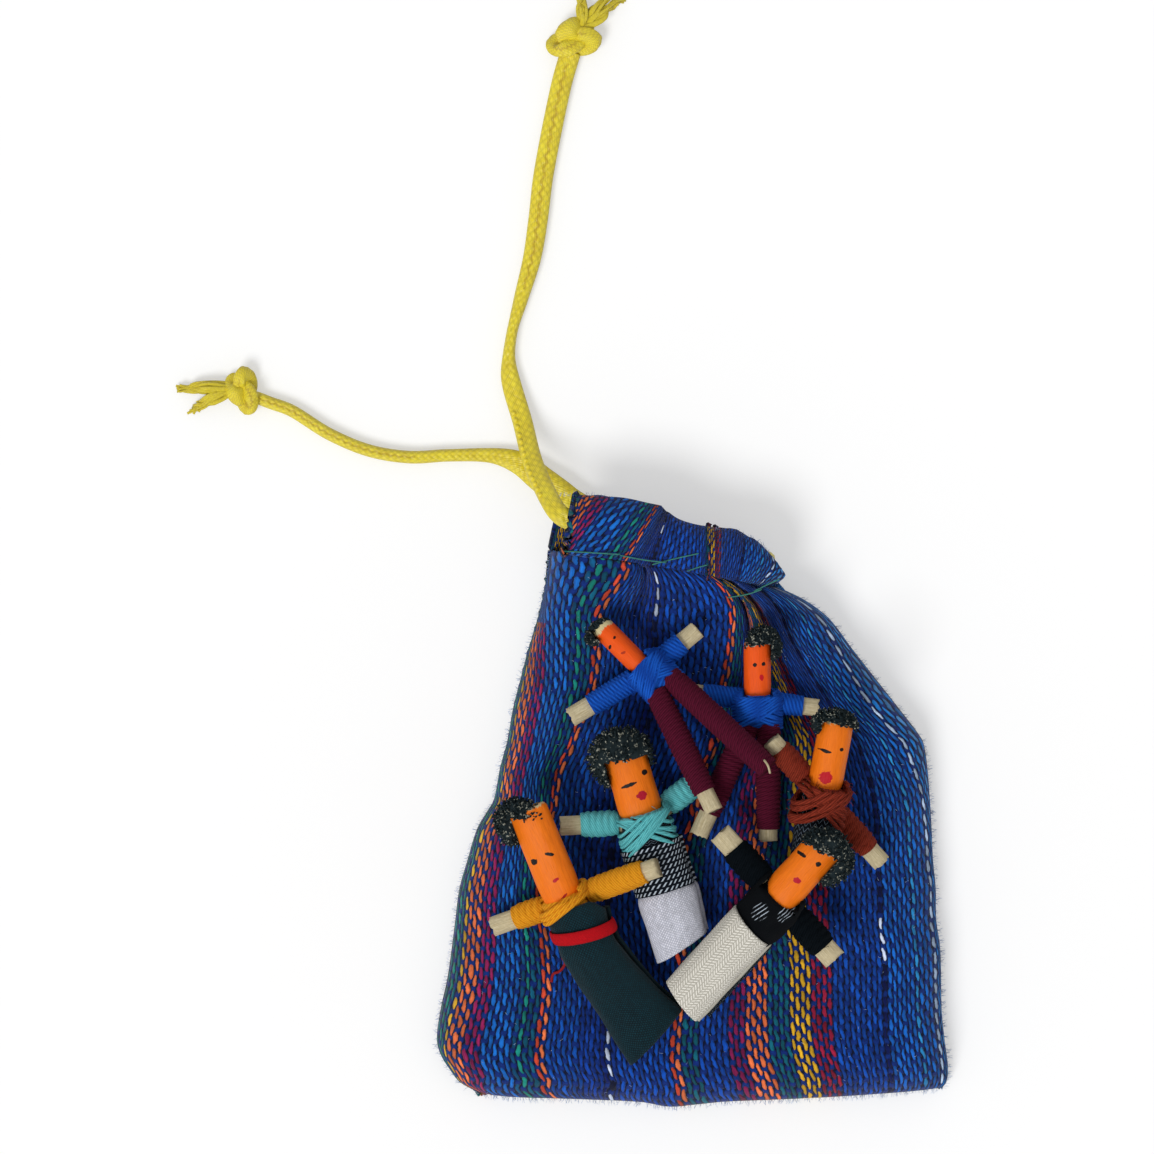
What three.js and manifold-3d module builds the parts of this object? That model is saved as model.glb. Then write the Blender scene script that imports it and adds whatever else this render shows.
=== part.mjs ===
// A set of six worry dolls lying on their drawstring pouch, as they lie on a table.
// Lengths are in millimetres and +Z is up. The origin is on the table, under the middle of the pouch.
// +Y points to the pouch's mouth.
import * as THREE from "three";
import { mergeVertices } from "three/addons/utils/BufferGeometryUtils.js";
import Module from "manifold-3d";

const wasm = await Module();
wasm.setup();

const degree = Math.PI / 180;
const fullTurn = 2 * Math.PI;

// Clearances between pieces
const layGap = 0.15; // cloth or yarn lying round a stick
const restGap = 0.3; // one thing lying on another
const overrun = 1; // how far a cutting shape runs past what it cuts

// The pouch
const clothThickness = 0.8;
const pouchWidth = 56.8;
const pouchHeight = 61;
const pouchBottom = -33.9;
const pouchThickness = 8.4;
const seamGap = 0.15;
const edgeRound = 6;
const neckRise = 1.2;
const neckRiseShare = 0.12;
const foldDepth = 0.7;
const foldFadeShare = 0.45;
const foldCount = 4;
// Shares of half the width for the two side edges, from the bottom to the mouth.
const leftEdgeShares = [
  -0.95, -1.0, -0.975, -0.94, -0.915, -0.875, -0.81,
  -0.745, -0.71, -0.675, -0.63, -0.58, -0.55,
];
const rightEdgeShares = [
  0.985, 0.99, 0.975, 0.96, 0.95, 0.945, 0.933,
  0.922, 0.905, 0.825, 0.695, 0.57, 0.33,
];
// How far up each edge runs, as a share of the height; the mouth slants down to the right.
const leftTopShare = 1;
const rightTopShare = 0.933;
const leftBottomShare = 0.015;
const rightBottomShare = 0.02;
const bottomSag = 0.9; // how far the bottom edge bulges out in its middle
const sagFadeShare = 0.15;
const edgeCrowding = 1.6; // how strongly the net of points crowds towards the rounded edges
const pouchColumns = 20;
const pouchRows = 16;

// The casing and what runs in it
const casingCloth = 0.6;
const casingWidthLeft = 7.6;
const casingWidthRight = 4.6;
const casingEndLeanShare = 0.19; // how far the casing's open ends slant, as a share of their width
const mouthGap = 4.8;
const cordWidth = 2.2;
const cordThickness = 1.3;
const cordInCasing = 12;
const cordStraight = 0.8; // how far a cord runs on straight past the casing
const cordEndGap = 0.3;
const casingPanelGap = 0.3;

// The dolls' common stock
const stickThickness = 1.6;
const yarnThickness = 0.5;
const yarnPitch = 0.62;
const yarnRidge = 0.12;
const sleeveTaperShare = 0.12;
const rolledCloth = 0.45;
const rolledGap = 0.15;
const rolledTurns = 1.2;
const bodyHalfWidth = 0.95;
const bodyThickness = 1.5;
const armStart = 0.6;
const threadEndShare = 0.92; // how wide wound thread is at its ends
// How wide and thick the head stick is, as shares of the head or of the body.
const footShare = 0.8;
const neckWidthShare = 0.9;
const neckThicknessShare = 0.95;
const crownWidthShare = 0.85;
const crownThicknessShare = 0.8;

// Rings and lofts

// An oval ring square to the y axis.
function oval(y, halfWidth, halfThickness, sides, x = 0, z = 0) {
  const ring = [];
  for (let i = 0; i < sides; i += 1) {
    const angle = (fullTurn * i) / sides;
    ring.push(new THREE.Vector3(x + halfWidth * Math.cos(angle), y, z + halfThickness * Math.sin(angle)));
  }
  return ring;
}

// A half-round ring: flat behind at z = 0 and domed in front.
function halfRound(y, halfWidth, thickness, arcSides, x = 0) {
  const ring = [];
  for (let i = 0; i <= arcSides; i += 1) {
    const angle = (Math.PI * i) / arcSides;
    ring.push(new THREE.Vector3(x + halfWidth * Math.cos(angle), y, thickness * Math.sin(angle)));
  }
  return ring;
}

// The triangles that fill a flat ring.
function ringFaces(ring) {
  const normal = new THREE.Vector3();
  ring.forEach((point, i) => {
    normal.add(new THREE.Vector3().crossVectors(point, ring[(i + 1) % ring.length]));
  });
  normal.normalize();
  const across = new THREE.Vector3().subVectors(ring[1], ring[0]);
  across.addScaledVector(normal, -across.dot(normal)).normalize();
  const up = new THREE.Vector3().crossVectors(normal, across);
  const flat = ring.map((point) => new THREE.Vector2(point.dot(across), point.dot(up)));
  return THREE.ShapeUtils.triangulateShape(flat, []);
}

function signedVolume(points, faces) {
  let volume = 0;
  for (const [a, b, c] of faces) {
    volume += points[a].dot(new THREE.Vector3().crossVectors(points[b], points[c]));
  }
  return volume;
}

// A geometry from points and faces, turned so that its faces point out.
function solidFrom(points, faces) {
  const outward = signedVolume(points, faces) > 0;
  const index = faces.flatMap(([a, b, c]) => (outward ? [a, b, c] : [a, c, b]));
  const geometry = new THREE.BufferGeometry();
  geometry.setAttribute("position", new THREE.Float32BufferAttribute(points.flatMap((p) => p.toArray()), 3));
  geometry.setIndex(index);
  return geometry;
}

// A closed solid through rings of the same number of points, filled at both ends.
function loft(rings) {
  const count = rings[0].length;
  const points = rings.flat();
  const faces = [];
  for (let k = 0; k + 1 < rings.length; k += 1) {
    for (let i = 0; i < count; i += 1) {
      const next = (i + 1) % count;
      const a = k * count + i;
      const b = k * count + next;
      faces.push([a, b, b + count], [a, b + count, a + count]);
    }
  }
  const last = (rings.length - 1) * count;
  for (const [a, b, c] of ringFaces(rings[0])) {
    faces.push([a, c, b]);
  }
  for (const [a, b, c] of ringFaces(rings[0])) {
    faces.push([last + a, last + b, last + c]);
  }
  return solidFrom(points, faces);
}

// Cutting and joining

function toSolid(geometry) {
  const bare = geometry.clone();
  bare.deleteAttribute("normal");
  bare.deleteAttribute("uv");
  const merged = mergeVertices(bare);
  return new wasm.Manifold(
    new wasm.Mesh({
      numProp: 3,
      vertProperties: new Float32Array(merged.attributes.position.array),
      triVerts: new Uint32Array(merged.index.array),
    }),
  );
}

function toGeometry(solid) {
  const mesh = solid.getMesh();
  const geometry = new THREE.BufferGeometry();
  geometry.setAttribute("position", new THREE.Float32BufferAttribute(mesh.vertProperties, 3));
  geometry.setIndex(Array.from(mesh.triVerts));
  return geometry;
}

function cut(geometry, ...tools) {
  const rest = tools.reduce((solid, tool) => solid.subtract(toSolid(tool)), toSolid(geometry));
  return toGeometry(rest);
}

function join(...geometries) {
  return toGeometry(geometries.map(toSolid).reduce((all, next) => all.add(next)));
}

function piece(name, geometry, material) {
  const mesh = new THREE.Mesh(geometry, material);
  mesh.name = name;
  return mesh;
}

function cloth(colour) {
  return new THREE.MeshStandardMaterial({ color: colour, roughness: 0.95, metalness: 0 });
}

const wood = new THREE.MeshStandardMaterial({ color: 0xd8c898, roughness: 0.8, metalness: 0 });
const hairCloth = cloth(0x1a2420);
const cordSatin = new THREE.MeshStandardMaterial({ color: 0xe0c828, roughness: 0.5, metalness: 0 });

function facePaint(colour) {
  return new THREE.MeshStandardMaterial({ color: colour, roughness: 0.45, metalness: 0 });
}

// The pouch's outline: the point of the left or right edge at a share of the height.
function edgePoint(shares, bottomShare, topShare, share) {
  const place = share * (shares.length - 1);
  const below = Math.min(Math.floor(place), shares.length - 2);
  const across = THREE.MathUtils.lerp(shares[below], shares[below + 1], place - below);
  const up = THREE.MathUtils.lerp(bottomShare, topShare, share);
  return new THREE.Vector2((across * pouchWidth) / 2, pouchBottom + up * pouchHeight);
}

// A place in the plane of the pouch: across runs 0 to 1 from left to right, up runs 0 to 1 to the mouth.
function pouchPlace(across, up) {
  const left = edgePoint(leftEdgeShares, leftBottomShare, leftTopShare, up);
  const right = edgePoint(rightEdgeShares, rightBottomShare, rightTopShare, up);
  const place = left.lerp(right, across);
  place.y -= bottomSag * Math.sin(Math.PI * across) * Math.max(0, 1 - up / sagFadeShare);
  return place;
}

// A rounded edge: 0 at the edge and 1 from the distance edgeRound inwards.
function rounded(distance) {
  const share = Math.min(distance / edgeRound, 1);
  return Math.sqrt(1 - (1 - share) ** 2);
}

// The height of the front panel's skin above its rim.
function frontHeight(across, up, rise) {
  const left = pouchPlace(0, up);
  const right = pouchPlace(1, up);
  const width = left.distanceTo(right);
  const side = rounded(Math.min(across, 1 - across) * width);
  const bottom = rounded(up * pouchHeight);
  const neck = THREE.MathUtils.smoothstep(up, 1 - neckRiseShare, 1) * neckRise;
  const fold = Math.max(0, (up - 1 + foldFadeShare) / foldFadeShare) ** 2;
  const wave = (1 - Math.cos(fullTurn * foldCount * across)) / 2;
  return side * bottom * (rise + neck - foldDepth * fold * wave);
}

// The front panel: a puffed shell, open at the mouth, whose rim lies on the back panel.
function frontPanel() {
  const rim = clothThickness + seamGap;
  const points = [];
  const rowLength = pouchColumns + 1;
  const shells = [
    { inset: 0, rise: pouchThickness - rim },
    { inset: clothThickness, rise: pouchThickness - rim - clothThickness },
  ];
  for (const { inset, rise } of shells) {
    for (let row = 0; row <= pouchRows; row += 1) {
      for (let column = 0; column <= pouchColumns; column += 1) {
        const up = easedShare(row / pouchRows, true);
        const across = easedShare(column / pouchColumns, false);
        const width = pouchPlace(0, up).distanceTo(pouchPlace(1, up));
        const insetAcross = inset / width;
        const insetUp = inset / pouchHeight;
        const innerAcross = THREE.MathUtils.lerp(insetAcross, 1 - insetAcross, across);
        const innerUp = THREE.MathUtils.lerp(insetUp, 1, up);
        const place = pouchPlace(innerAcross, innerUp);
        points.push(new THREE.Vector3(place.x, place.y, rim + frontHeight(across, up, rise)));
      }
    }
  }
  const shellLength = rowLength * (pouchRows + 1);
  const faces = [];
  const quad = (a, b, c, d) => faces.push([a, b, c], [a, c, d]);
  for (let row = 0; row < pouchRows; row += 1) {
    for (let column = 0; column < pouchColumns; column += 1) {
      const a = row * rowLength + column;
      quad(a, a + 1, a + 1 + rowLength, a + rowLength);
      const b = a + shellLength;
      quad(b, b + rowLength, b + 1 + rowLength, b + 1);
    }
  }
  const top = pouchRows * rowLength;
  for (let column = 0; column < pouchColumns; column += 1) {
    quad(column, column + shellLength, column + 1 + shellLength, column + 1);
    quad(top + column, top + column + 1, top + column + 1 + shellLength, top + column + shellLength);
  }
  for (let row = 0; row < pouchRows; row += 1) {
    const left = row * rowLength;
    quad(left, left + rowLength, left + rowLength + shellLength, left + shellLength);
    const right = left + pouchColumns;
    quad(right, right + shellLength, right + rowLength + shellLength, right + rowLength);
  }
  return solidFrom(points, faces);
}

// Steps that crowd towards the rounded edges.
function easedShare(share, oneSided) {
  if (oneSided) {
    return share ** edgeCrowding;
  }
  const half = Math.abs(2 * share - 1);
  return (1 + Math.sign(share - 0.5) * (1 - (1 - half) ** edgeCrowding)) / 2;
}

// The back panel: a flat cloth with the same outline.
function backPanel() {
  const outline = [];
  for (let row = 0; row <= pouchRows; row += 1) {
    outline.push(pouchPlace(1, row / pouchRows));
  }
  for (let row = pouchRows; row >= 0; row -= 1) {
    outline.push(pouchPlace(0, row / pouchRows));
  }
  for (let column = 1; column < pouchColumns; column += 1) {
    outline.push(pouchPlace(column / pouchColumns, 0));
  }
  const shape = new THREE.Shape(outline);
  return new THREE.ExtrudeGeometry(shape, { depth: clothThickness, bevelEnabled: false });
}

// The casing: a flattened tunnel of cloth that runs along the front of the mouth, bends round its right
// end and comes back along the rear of the mouth.
const casingThickness = cordThickness + 2 * (casingCloth + layGap);
const casingBackZ = casingThickness / 2;
const casingFrontZ = casingBackZ + casingThickness + mouthGap;
const casingBend = (casingFrontZ - casingBackZ) / 2;
const casingLeft = pouchPlace(0, 1);
const casingRight = pouchPlace(1, 1);
const casingTurn = Math.atan2(casingRight.y - casingLeft.y, casingRight.x - casingLeft.x);
const casingLength = casingLeft.distanceTo(casingRight) - casingBend - casingThickness / 2;

// A place along the casing's middle line, in its own frame: x along the mouth and z up.
// The way starts at the left end of the front leg and ends at the left end of the back leg.
function casingPlace(way) {
  const bendLength = Math.PI * casingBend;
  if (way <= casingLength) {
    return { x: way, z: casingFrontZ, angle: 0 };
  }
  if (way >= casingLength + bendLength) {
    return { x: 2 * casingLength + bendLength - way, z: casingBackZ, angle: Math.PI };
  }
  const angle = (way - casingLength) / casingBend;
  return {
    x: casingLength + casingBend * Math.sin(angle),
    z: (casingFrontZ + casingBackZ) / 2 + casingBend * Math.cos(angle),
    angle,
  };
}

// A tunnel solid along the casing, between two ways, with a flattened oval section.
function alongCasing(from, to, halfWidthAt, halfThickness, sides, straightSteps) {
  const bendLength = Math.PI * casingBend;
  const bendSteps = 8;
  const ways = [];
  const stretches = [
    [0, casingLength, straightSteps],
    [casingLength, casingLength + bendLength, bendSteps],
    [casingLength + bendLength, 2 * casingLength + bendLength, straightSteps],
  ];
  for (const [start, end, steps] of stretches) {
    const first = Math.max(start, from);
    const last = Math.min(end, to);
    for (let i = 0; i <= steps && last > first; i += 1) {
      const way = THREE.MathUtils.lerp(first, last, i / steps);
      if (ways.length === 0 || way > ways.at(-1)) {
        ways.push(way);
      }
    }
  }
  if (from < 0) {
    ways.unshift(from);
  }
  if (to > 2 * casingLength + bendLength) {
    ways.push(to);
  }
  return loft(
    ways.map((way) => {
      const { x, z, angle } = casingPlace(way);
      const halfWidth = halfWidthAt(x);
      const ring = [];
      for (let i = 0; i < sides; i += 1) {
        const turn = (fullTurn * i) / sides;
        const rise = halfThickness * Math.sin(turn);
        const aside = casingMiddle(x) + halfWidth * Math.cos(turn);
        const lean = x <= 0 ? casingEndLeanShare * aside : 0;
        ring.push(new THREE.Vector3(x + lean + rise * Math.sin(angle), aside, z + rise * Math.cos(angle)));
      }
      return ring;
    }),
  );
}

function casingHalfWidth(x) {
  const share = THREE.MathUtils.clamp(x / casingLength, 0, 1);
  return THREE.MathUtils.lerp(casingWidthLeft, casingWidthRight, share) / 2;
}

// The middle of the casing, so that its lower edge runs a small gap past the panels' edge.
function casingMiddle(x) {
  return casingHalfWidth(x) + casingPanelGap;
}

const casingWay = 2 * casingLength + Math.PI * casingBend;

function buildPouch() {
  const group = new THREE.Group();
  const stripedCloth = cloth(0x0a3fa8);
  group.add(piece("pouch_back", backPanel(), stripedCloth));
  group.add(piece("pouch_front", frontPanel(), stripedCloth));

  const mouth = new THREE.Group();
  const outer = alongCasing(0, casingWay, casingHalfWidth, casingThickness / 2, 12, 3);
  const boreHalf = cordThickness / 2 + layGap;
  const bore = alongCasing(
    -overrun,
    casingWay + overrun,
    (x) => casingHalfWidth(x) - casingCloth,
    boreHalf,
    12,
    3,
  );
  mouth.add(piece("drawstring_casing", cut(outer, bore), cloth(0x1048b0)));
  const hiddenFrom = cordInCasing + cordEndGap;
  const loop = alongCasing(
    hiddenFrom,
    casingWay - hiddenFrom,
    () => cordWidth / 2,
    cordThickness / 2,
    8,
    2,
  );
  mouth.add(piece("drawstring_in_casing", loop, cordSatin));
  mouth.position.set(casingLeft.x, casingLeft.y, 0);
  mouth.rotation.z = casingTurn;
  group.add(mouth);
  return group;
}

// The drawstring's free stretches

const knotSize = 1.35;
const knotStrand = 0.5;
const knotFlatShare = 0.8;
const knotTurn = 60 * degree;
const tuftLength = 5.6;
const tuftSpread = 50 * degree;
const tuftStrands = 6;
const strandWidth = 0.9;
const outerStrandShare = 0.35; // how much shorter the outer strands are
const nextStrandShare = 0.2; // how much shorter every second strand is

// Points that the two free stretches follow on the table, after they leave the casing.
const upperRoute = [
  [-16.9, 34.2, 6.2],
  [-18, 37.6, 3.6],
  [-18.9, 41.2, 1.7],
  [-20.2, 46.9, 0.8],
  [-20, 50.6, 0.8],
  [-18.9, 54.9, 0.8],
  [-17.7, 59.3, 0.8],
  [-17, 63.7, 0.8],
  [-16.5, 68, 0.8],
  [-15.7, 72.5, 0.8],
  [-14.8, 76.9, 0.8],
  [-14.3, 79.1, 0.8],
  [-13.7, 81.2, 0.8],
];
const leftRoute = [
  [-17.3, 34.2, 1.1],
  [-19, 36.5, 0.9],
  [-21.6, 37.5, 0.8],
  [-26.8, 37.6, 0.8],
  [-31.2, 37.4, 0.8],
  [-35.6, 38.1, 0.8],
  [-40, 39.9, 0.8],
  [-44.4, 42.6, 0.8],
  [-46.6, 43.4, 0.8],
  [-47.9, 43.9, 0.8],
];

// A place in the casing's tunnel, in the pouch's frame: aside runs across the tunnel, from its middle.
function inTunnel(way, aside) {
  const { x, z } = casingPlace(way);
  return new THREE.Vector3(x, casingMiddle(x) + aside, z)
    .applyAxisAngle(new THREE.Vector3(0, 0, 1), casingTurn)
    .add(new THREE.Vector3(casingLeft.x, casingLeft.y, 0));
}

// A flat cord along a curve.
function cordAlong(points, steps) {
  const curve = new THREE.CatmullRomCurve3(points, false, "centripetal");
  const section = new THREE.Shape();
  const sides = 8;
  for (let i = 0; i < sides; i += 1) {
    const angle = (fullTurn * i) / sides;
    const across = (cordThickness / 2) * Math.cos(angle);
    const along = (cordWidth / 2) * Math.sin(angle);
    if (i === 0) {
      section.moveTo(across, along);
    } else {
      section.lineTo(across, along);
    }
  }
  section.closePath();
  return new THREE.ExtrudeGeometry(section, { steps, bevelEnabled: false, extrudePath: curve });
}

// A tuft of strands that fan out from the end of the cord.
function tuft() {
  const strands = [];
  for (let i = 0; i < tuftStrands; i += 1) {
    const share = i / (tuftStrands - 1) - 0.5;
    const shorter = outerStrandShare * Math.abs(share) + nextStrandShare * (i % 2);
    const length = tuftLength * (1 - shorter);
    const strand = loft([
      oval(-strandWidth / 2, strandWidth / 2, strandWidth / 2, 4),
      oval(length / 2, strandWidth / 2, strandWidth / 2, 4, share * strandWidth),
      oval(length, strandWidth / 3, strandWidth / 3, 4),
    ]);
    strand.rotateZ(-share * tuftSpread * 2);
    strand.translate(0, 0, (strandWidth / 4) * ((i % 3) - 1));
    strands.push(strand);
  }
  return join(...strands);
}

function buildDrawstring() {
  const group = new THREE.Group();
  const ends = [
    { name: "upper", inside: cordInCasing, aside: -0.7, route: upperRoute, steps: 30 },
    { name: "left", inside: casingWay - cordInCasing, aside: 1.2, route: leftRoute, steps: 24 },
  ];
  for (const { name, inside, aside, route, steps } of ends) {
    const outward = inside < casingWay / 2 ? -1 : 1;
    const exit = inTunnel(inside + outward * cordInCasing, aside);
    const start = inTunnel(inside, 0);
    const straight = start.clone().lerp(exit, 1 + cordStraight / cordInCasing);
    const points = [start, start.clone().lerp(exit, 0.5), exit, straight];
    points.push(...route.map((point) => new THREE.Vector3(...point)));
    group.add(piece(`cord_${name}`, cordAlong(points, steps), cordSatin));

    const [before, end] = points.slice(-2);
    const heading = Math.atan2(end.y - before.y, end.x - before.x);
    const knotReach = 1.5 * knotSize + knotStrand;
    const knot = new THREE.TorusKnotGeometry(knotSize, knotStrand, 32, 5, 2, 3);
    knot.rotateZ(knotTurn);
    knot.scale(1, knotFlatShare, 1);
    const knotMesh = piece(`knot_${name}`, knot, cordSatin);
    knotMesh.rotation.z = heading;
    const knotRise = knotSize / 2 + knotStrand + seamGap;
    knotMesh.position.set(end.x, end.y, knotRise);
    knotMesh.translateX(knotReach + cordEndGap);
    group.add(knotMesh);

    const tuftMesh = piece(`frayed_end_${name}`, tuft(), cordSatin);
    tuftMesh.rotation.z = heading - Math.PI / 2;
    tuftMesh.position.set(end.x, end.y, strandWidth);
    tuftMesh.translateY(2 * (knotReach + cordEndGap) + strandWidth / 2);
    group.add(tuftMesh);
  }
  return group;
}

// The dolls. Each is made in its own frame: x across, y up the body to the head, z to the front.
// The chest, where the arms cross the body, is its origin, and the body's flat back is at z = 0.

const armZ = -(layGap + stickThickness / 2);
const sleeveHalfThickness = stickThickness / 2 + layGap + yarnThickness;
const backDepth = sleeveHalfThickness - armZ;
const lyingHeight = pouchThickness + restGap + backDepth;
const bodyZ = bodyThickness / 2;
// The pile keeps its place below the mouth; the dolls' chests are measured from here.
const pileShare = 0.75;
const pileY = pouchBottom + pileShare * pouchHeight;

const tealDoll = {
  name: "teal_doll",
  chest: [-5.3, -14.35],
  lift: layGap + yarnThickness,
  turn: 16 * degree,
  headUp: 5 * degree,
  rightUp: 0,
  face: 0xf07010,
  headWidth: 4.5,
  headThickness: 2.1,
  headTop: 9.7,
  bodyBelow: 11,
  hairUp: 1.3,
  hairDown: 4.6,
  hairSide: 0.9,
  hairLine: 2.2,
  hairShift: -0.5,
  arms: {
    width: 2.1,
    left: 9.2,
    right: 7.2,
    leftRaised: 13 * degree,
    rightRaised: 21 * degree,
    split: true,
  },
  sleeves: { leftFrom: 3.1, leftTo: 7, rightFrom: 3.5, rightTo: 6.8, width: 2.9 },
  yarn: 0x4fc0b8,
  chestCloth: { halfWidth: 2.6, top: 1.5, bottom: 2.9, endShare: 0.9 },
  neckYarn: { slant: 2.3, width: 1.3 },
  skirt: {
    length: 7.6,
    halfWidth: 3.3,
    halfDepth: 2.15,
    rowShares: [
      [0.434, 1, 1, 0],
      [1, 1, 1, 0.06],
    ],
  },
  underskirt: {
    length: 14.1,
    halfWidth: 3.25,
    halfDepth: 2.15,
    rowShares: [
      [0.553, 1, 1, 0.077],
      [0.78, 0.97, 0.977, 0.077, 0.1],
      [1, 0.94, 0.837, 0.077, 0.35],
    ],
  },
};

const orangeDoll = {
  name: "orange_doll",
  chest: [-14, -22.95],
  lift: 2.1,
  turn: 22 * degree,
  headUp: 10 * degree,
  rightUp: 18 * degree,
  face: 0xf07010,
  headWidth: 4.3,
  headThickness: 2.1,
  headTop: 11.6,
  bodyBelow: 6,
  hairUp: 1.1,
  hairDown: 3.8,
  hairSide: 0.8,
  hairLine: 1.2,
  hairShift: -0.4,
  arms: {
    width: 2.1,
    left: 9.1,
    right: 11,
    leftRaised: -2 * degree,
    rightRaised: 2 * degree,
    split: false,
  },
  sleeves: { leftFrom: 3.1, leftTo: 6.3, rightFrom: 3.1, rightTo: 9.4, width: 2.9 },
  yarn: 0xf08a08,
  chestCloth: { halfWidth: 2.5, top: 1.7, bottom: 1.4, endShare: 0.9 },
  skirt: {
    length: 17.6,
    halfWidth: 3.8,
    halfDepth: 2.15,
    rowShares: [
      [0.108, 0.947, 1, 0.263],
      [0.341, 0.868, 1, 0.263],
      [0.739, 0.921, 0.744, 0.658, 0.2, 12 * degree, 0.465],
      [1, 1, 0.651, 0.974, 0.5, 18 * degree, 0.698],
    ],
  },
  belt: {
    halfWidth: 3.95,
    halfDepth: 2.6,
    x: 1,
    y: -3.4,
    slant: -0.4,
    width: 1.4,
    thickness: 0.4,
    steps: 20,
  },
};

const rightTrouserDoll = {
  name: "right_trouser_doll",
  chest: [6.9, -1.25],
  lift: 0,
  turn: 1 * degree,
  headUp: 6 * degree,
  rightUp: 0,
  face: 0xf25510,
  headWidth: 2.9,
  headThickness: 1.6,
  headTop: 6.9,
  bodyBelow: 2.4,
  hairUp: 1.2,
  hairDown: 2.2,
  hairSide: 0.5,
  hairLine: 0.7,
  hairShift: 0.3,
  arms: {
    width: 1.9,
    left: 7.4,
    right: 6.7,
    leftRaised: 8 * degree,
    rightRaised: -8 * degree,
    split: false,
  },
  sleeves: { leftFrom: 1, leftTo: 6, rightFrom: 1, rightTo: 5, width: 2.5 },
  yarn: 0x0a58c0,
  chestCloth: { halfWidth: 2.5, top: 1.4, bottom: 2.2, endShare: 0.8 },
  legs: {
    width: 2,
    winding: 2.8,
    leftLength: 12.9,
    rightLength: 12.4,
    leftTrouser: 10.2,
    rightTrouser: 11.1,
    leftOut: -25 * degree,
    rightOut: -1 * degree,
    leftUp: 0,
    rightUp: 0,
  },
};

const leftTrouserDoll = {
  name: "left_trouser_doll",
  chest: [-5, 2.25],
  lift: 0.5,
  turn: 45 * degree,
  headUp: -9 * degree,
  rightUp: 0,
  face: 0xf25510,
  headWidth: 2.6,
  headThickness: 1.6,
  headTop: 7.6,
  bodyBelow: 2.4,
  hairUp: 0.7,
  hairDown: 2,
  hairSide: 0.5,
  hairLine: -0.2,
  hairShift: -0.5,
  arms: {
    width: 2.1,
    left: 9.9,
    right: 6.9,
    leftRaised: 14 * degree,
    rightRaised: -5 * degree,
    split: true,
  },
  sleeves: { leftFrom: 1.2, leftTo: 7.4, rightFrom: 1.2, rightTo: 4.7, width: 2.6 },
  yarn: 0x0a58c0,
  chestCloth: { halfWidth: 2.3, top: 1.7, bottom: 2.2, endShare: 0.8 },
  legs: {
    width: 2,
    winding: 2.8,
    leftLength: 14.1,
    rightLength: 14.2,
    leftTrouser: 11.8,
    rightTrouser: 13.8,
    leftOut: -19 * degree,
    rightOut: 2 * degree,
    leftUp: -2 * degree,
    rightUp: 4 * degree,
  },
};

const rustDoll = {
  name: "rust_doll",
  chest: [13.8, -11.45],
  lift: 2.3,
  turn: -10.6 * degree,
  headUp: 8 * degree,
  rightUp: -11 * degree,
  face: 0xf07010,
  headWidth: 3.8,
  headThickness: 2,
  headTop: 8.6,
  bodyBelow: 7,
  hairUp: 1,
  hairDown: 2.6,
  hairSide: 0.7,
  hairLine: 0.8,
  hairShift: -0.4,
  arms: {
    width: 2.1,
    left: 8.2,
    right: 10.4,
    leftRaised: 38 * degree,
    rightRaised: -38 * degree,
    split: false,
  },
  sleeves: { leftFrom: 3.6, leftTo: 6.9, rightFrom: 3.6, rightTo: 8.2, width: 2.8 },
  yarn: 0x8a2a18,
  chestCloth: { halfWidth: 2.3, top: 1.5, bottom: 8.6, endShare: 0.9 },
  neckYarn: { slant: 2.4, width: 1.2 },
};

const blackDoll = {
  name: "black_doll",
  chest: [9, -22.55],
  lift: 3.6,
  turn: -41 * degree,
  headUp: 12 * degree,
  rightUp: 0,
  face: 0xf07010,
  headWidth: 4.2,
  headThickness: 2,
  headTop: 8.8,
  bodyBelow: 5.5,
  hairUp: 1.4,
  hairDown: 4,
  hairSide: 0.8,
  hairLine: 1.6,
  hairShift: 0.5,
  arms: {
    width: 2.6,
    left: 9.5,
    right: 9,
    leftRaised: 7 * degree,
    rightRaised: -7 * degree,
    split: false,
  },
  sleeves: { leftFrom: 3.3, leftTo: 7.2, rightFrom: 3.3, rightTo: 7.2, width: 3.4 },
  yarn: 0x03090f,
  chestCloth: { halfWidth: 3, top: 1.7, bottom: 3.4, endShare: 0.85 },
  skirt: {
    length: 15.4,
    halfWidth: 2.75,
    halfDepth: 2.35,
    rowShares: [
      [0.253, 1, 1, -0.073, -0.15],
      [1, 0.982, 0.766, -0.145, -0.25],
    ],
  },
  lining: { width: 4.2, length: 10.4, top: 5, x: 1 },
};

// The head stick: the painted face is its upper part, and its lower part is hidden in the clothes.
function headStick(doll, spare) {
  const half = doll.headWidth / 2;
  const ring = (y, halfWidth, thickness) => {
    const points = halfRound(y, halfWidth + spare, thickness + 2 * spare, 8);
    points.forEach((point) => {
      point.z -= spare;
    });
    return points;
  };
  const neck = -layGap;
  const shoulder = half / 2;
  return loft([
    ring(-doll.bodyBelow - spare, bodyHalfWidth * footShare, bodyThickness * footShare),
    ring(neck - shoulder, bodyHalfWidth, bodyThickness),
    ring(neck + shoulder, half * neckWidthShare, doll.headThickness * neckThicknessShare),
    ring(doll.headTop / 2, half, doll.headThickness),
    ring(doll.headTop - shoulder / 2, half, doll.headThickness),
    ring(doll.headTop + spare, half * crownWidthShare, doll.headThickness * crownThicknessShare),
  ]);
}

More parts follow.
